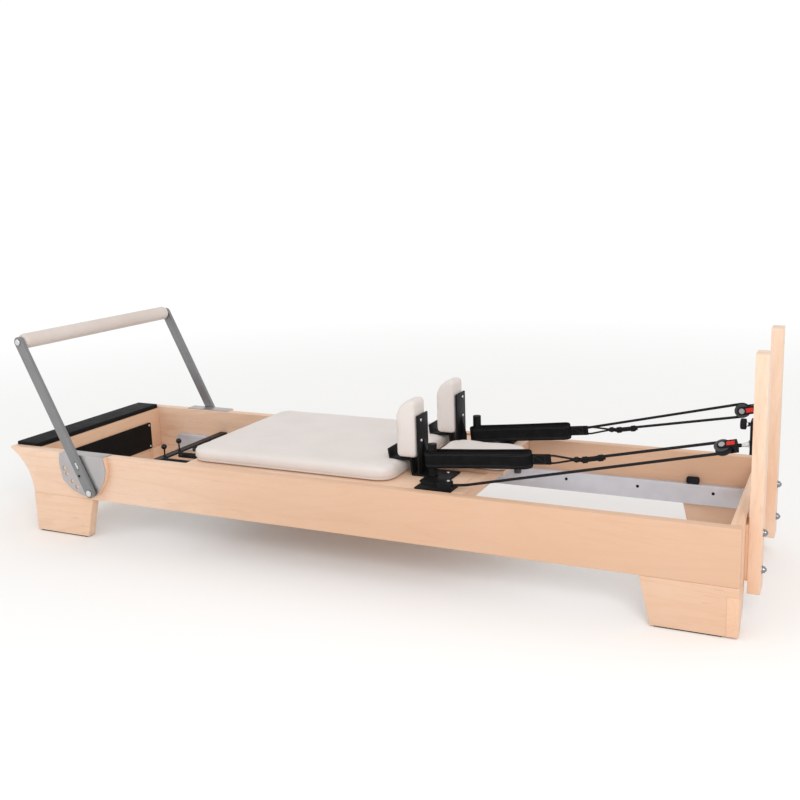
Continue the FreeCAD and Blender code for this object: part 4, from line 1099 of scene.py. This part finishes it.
teeth, tooth_steps, tooth_deep, edge_in = 22, 4, 0.0011, 0.0012
cam_parts = solid_spots("rope_cams")
form = bmesh.new()
for middle, low, high in cam_parts:
    loops = []
    for share, inset in ((0.0, edge_in), (0.12, 0.0), (0.88, 0.0), (1.0, edge_in)):
        loop = []
        for step in range(teeth * tooth_steps):
            bite = tooth_deep * abs((step % tooth_steps - 2) / 2)
            radius = (high.x - low.x) / 2 - bite - inset
            angle = 2 * math.pi * step / (teeth * tooth_steps)
            loop.append(form.verts.new((middle.x + radius * math.cos(angle), middle.y + radius * math.sin(angle),
                                        low.z + (high.z - low.z) * share)))
        loops.append(loop)
    lofted(form, loops, smooth=False)
finished("toothed_cams", as_mesh("toothed_cams", form), moulded, ["rope_cams"])
cap_head = turned_head("cam_cap", [(0, 3.4), (3.0, 3.2), (4.6, 2.4), (5.2, 1.2), (5.2, 0)])
cap_spots = [((middle.x, middle.y, high.z), (0, 0, 1)) for middle, _, high in cam_parts]
planted("cam_caps", cap_head, cap_spots, steel, (), "carriage")

# ---------------------------------------------------------------- pulleys and knobs
# Each swivelling block has two black cheeks round a grooved nylon sheave, on a steel shank through
# the slider plate. A plain red plate marks the cheek, and a black knob clamps the slider above.

hub_grey = pebbled("hub_grey", (0.30, 0.30, 0.31), (0.4, 0.4, 0.41), (0.3, 0.45), 600.0, 0.0001)
mark_red = pebbled("mark_red", (0.62, 0.035, 0.03), (0.52, 0.03, 0.025), (0.3, 0.42), 500.0, 0.00006)
cheek_out, mark_at, mark_size = 0.0131, 0.0225, (0.021, 0.0012, 0.013)
hub_profile = [(0, 1.5), (4.6, 1.5), (5.2, 0.9), (7.6, 0.8), (8.2, 0.2), (8.2, -0.4)]
knob_profile = [(0, 0.0), (0.55, 0.0), (0.8, 0.4), (0.93, 1.4), (1.0, 3.2), (1.0, 12.4), (0.92, 14.6),
                (0.6, 15.8), (0.0, 16)]
flutes, flute_steps, flute_deep = 10, 8, 0.075
shank_run, collar_radius, shank_radius = (0.014, 0.016, 0.0225, 0.023, 0.033), 0.0062, 0.004


def tapering(radius_at):
    """The outline of a round bar whose radius depends on the share of its length."""
    return lambda share, angle: tuple(part * radius_at(share) for part in (math.cos(angle), math.sin(angle)))


for name, side in SIDES:
    eased(f"pulley_block_{name}", 0.0010, moulded)
    eased(f"sheave_{name}", 0.0008, wheel_nylon, 2)
    hub = turned_head(f"hub_{name}", hub_profile, 28)
    hub_spots = [(pulley_centre[name] + block_turn[name] @ Vector((0, way * cheek_out, 0)),
                  block_turn[name] @ Vector((0, way, 0))) for way in (1, -1)]
    planted(f"hub_caps_{name}", hub, hub_spots, hub_grey, (), f"pulley_{name}")
    form = bmesh.new()
    for way in (1, -1):
        for vert in bmesh.ops.create_cube(form, size=1.0)["verts"]:
            local = Vector((mark_at + vert.co.x * mark_size[0], way * cheek_out + vert.co.y * mark_size[1],
                            vert.co.z * mark_size[2]))
            vert.co = pulley_centre[name] + block_turn[name] @ local
    finished(f"mark_plates_{name}", eased_mesh(f"mark_plates_{name}", form, 0.0005), mark_red, (),
             f"pulley_{name}")

    knob_low, knob_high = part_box(f"pulley_knob_{name}")
    middle = (knob_low + knob_high) / 2
    radius = (knob_high.z - knob_low.z) / 2
    form = bmesh.new()
    rings = []
    for share, along in knob_profile:
        ring = []
        for step in range(flutes * flute_steps):
            angle = 2 * math.pi * step / (flutes * flute_steps)
            dent = 1 - flute_deep * max(0.0, math.cos(angle * flutes)) ** 2 * (share > 0.9)
            out = radius * share * dent
            ring.append(form.verts.new((knob_low.x + along * MM, middle.y + out * math.cos(angle),
                                        middle.z + out * math.sin(angle))))
        rings.append(ring)
    lofted(form, rings, capped=False)
    bmesh.ops.remove_doubles(form, verts=form.verts, dist=1e-6)
    grips = as_mesh(f"fluted_knob_{name}", form)
    finished(f"fluted_knob_{name}", grips, moulded, [f"pulley_knob_{name}"])
    shank = [Vector((knob_low.x + along, middle.y, middle.z)) for along in shank_run]
    collar = swept(f"knob_shank_{name}", shank,
                   tapering(lambda share: collar_radius if share < 0.55 else shank_radius))
    finished(f"knob_shank_{name}", collar, steel, [f"pulley_knob_{name}"])
eased("pulley_sliders", 0.0012, black_steel)

# A bright ferrule on each shank flares out to a foot on the slider plate.
block_reach, slider_plate = 0.046, 0.008
swivel_way = Vector((math.cos(rope_slope), 0, math.sin(rope_slope)))
plate_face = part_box("risers")[0].x - slider_plate
for name, _ in SIDES:
    near_end = pulley_centre[name] + swivel_way * (block_reach + 0.0015)
    far_end = pulley_centre[name] + swivel_way * ((plate_face - pulley_centre[name].x) / swivel_way.x - 0.0012)
    stations = [line_of(near_end, far_end, share) for share in (0, 0.1, 0.2, 0.42, 0.62, 0.78, 0.9, 1.0)]
    ferrule = swept(f"swivel_ferrule_{name}", stations, tapering(lambda share: 0.0046 + 0.0058 * share ** 2.2),
                    around=24)
    finished(f"swivel_ferrule_{name}", ferrule, steel, (), owner_of("pulley_sliders"))

# The loose heads that were copied into place are taken away.
for head in [o for o in scene.objects if o.hide_render and "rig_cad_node" not in o]:
    bpy.data.objects.remove(head)
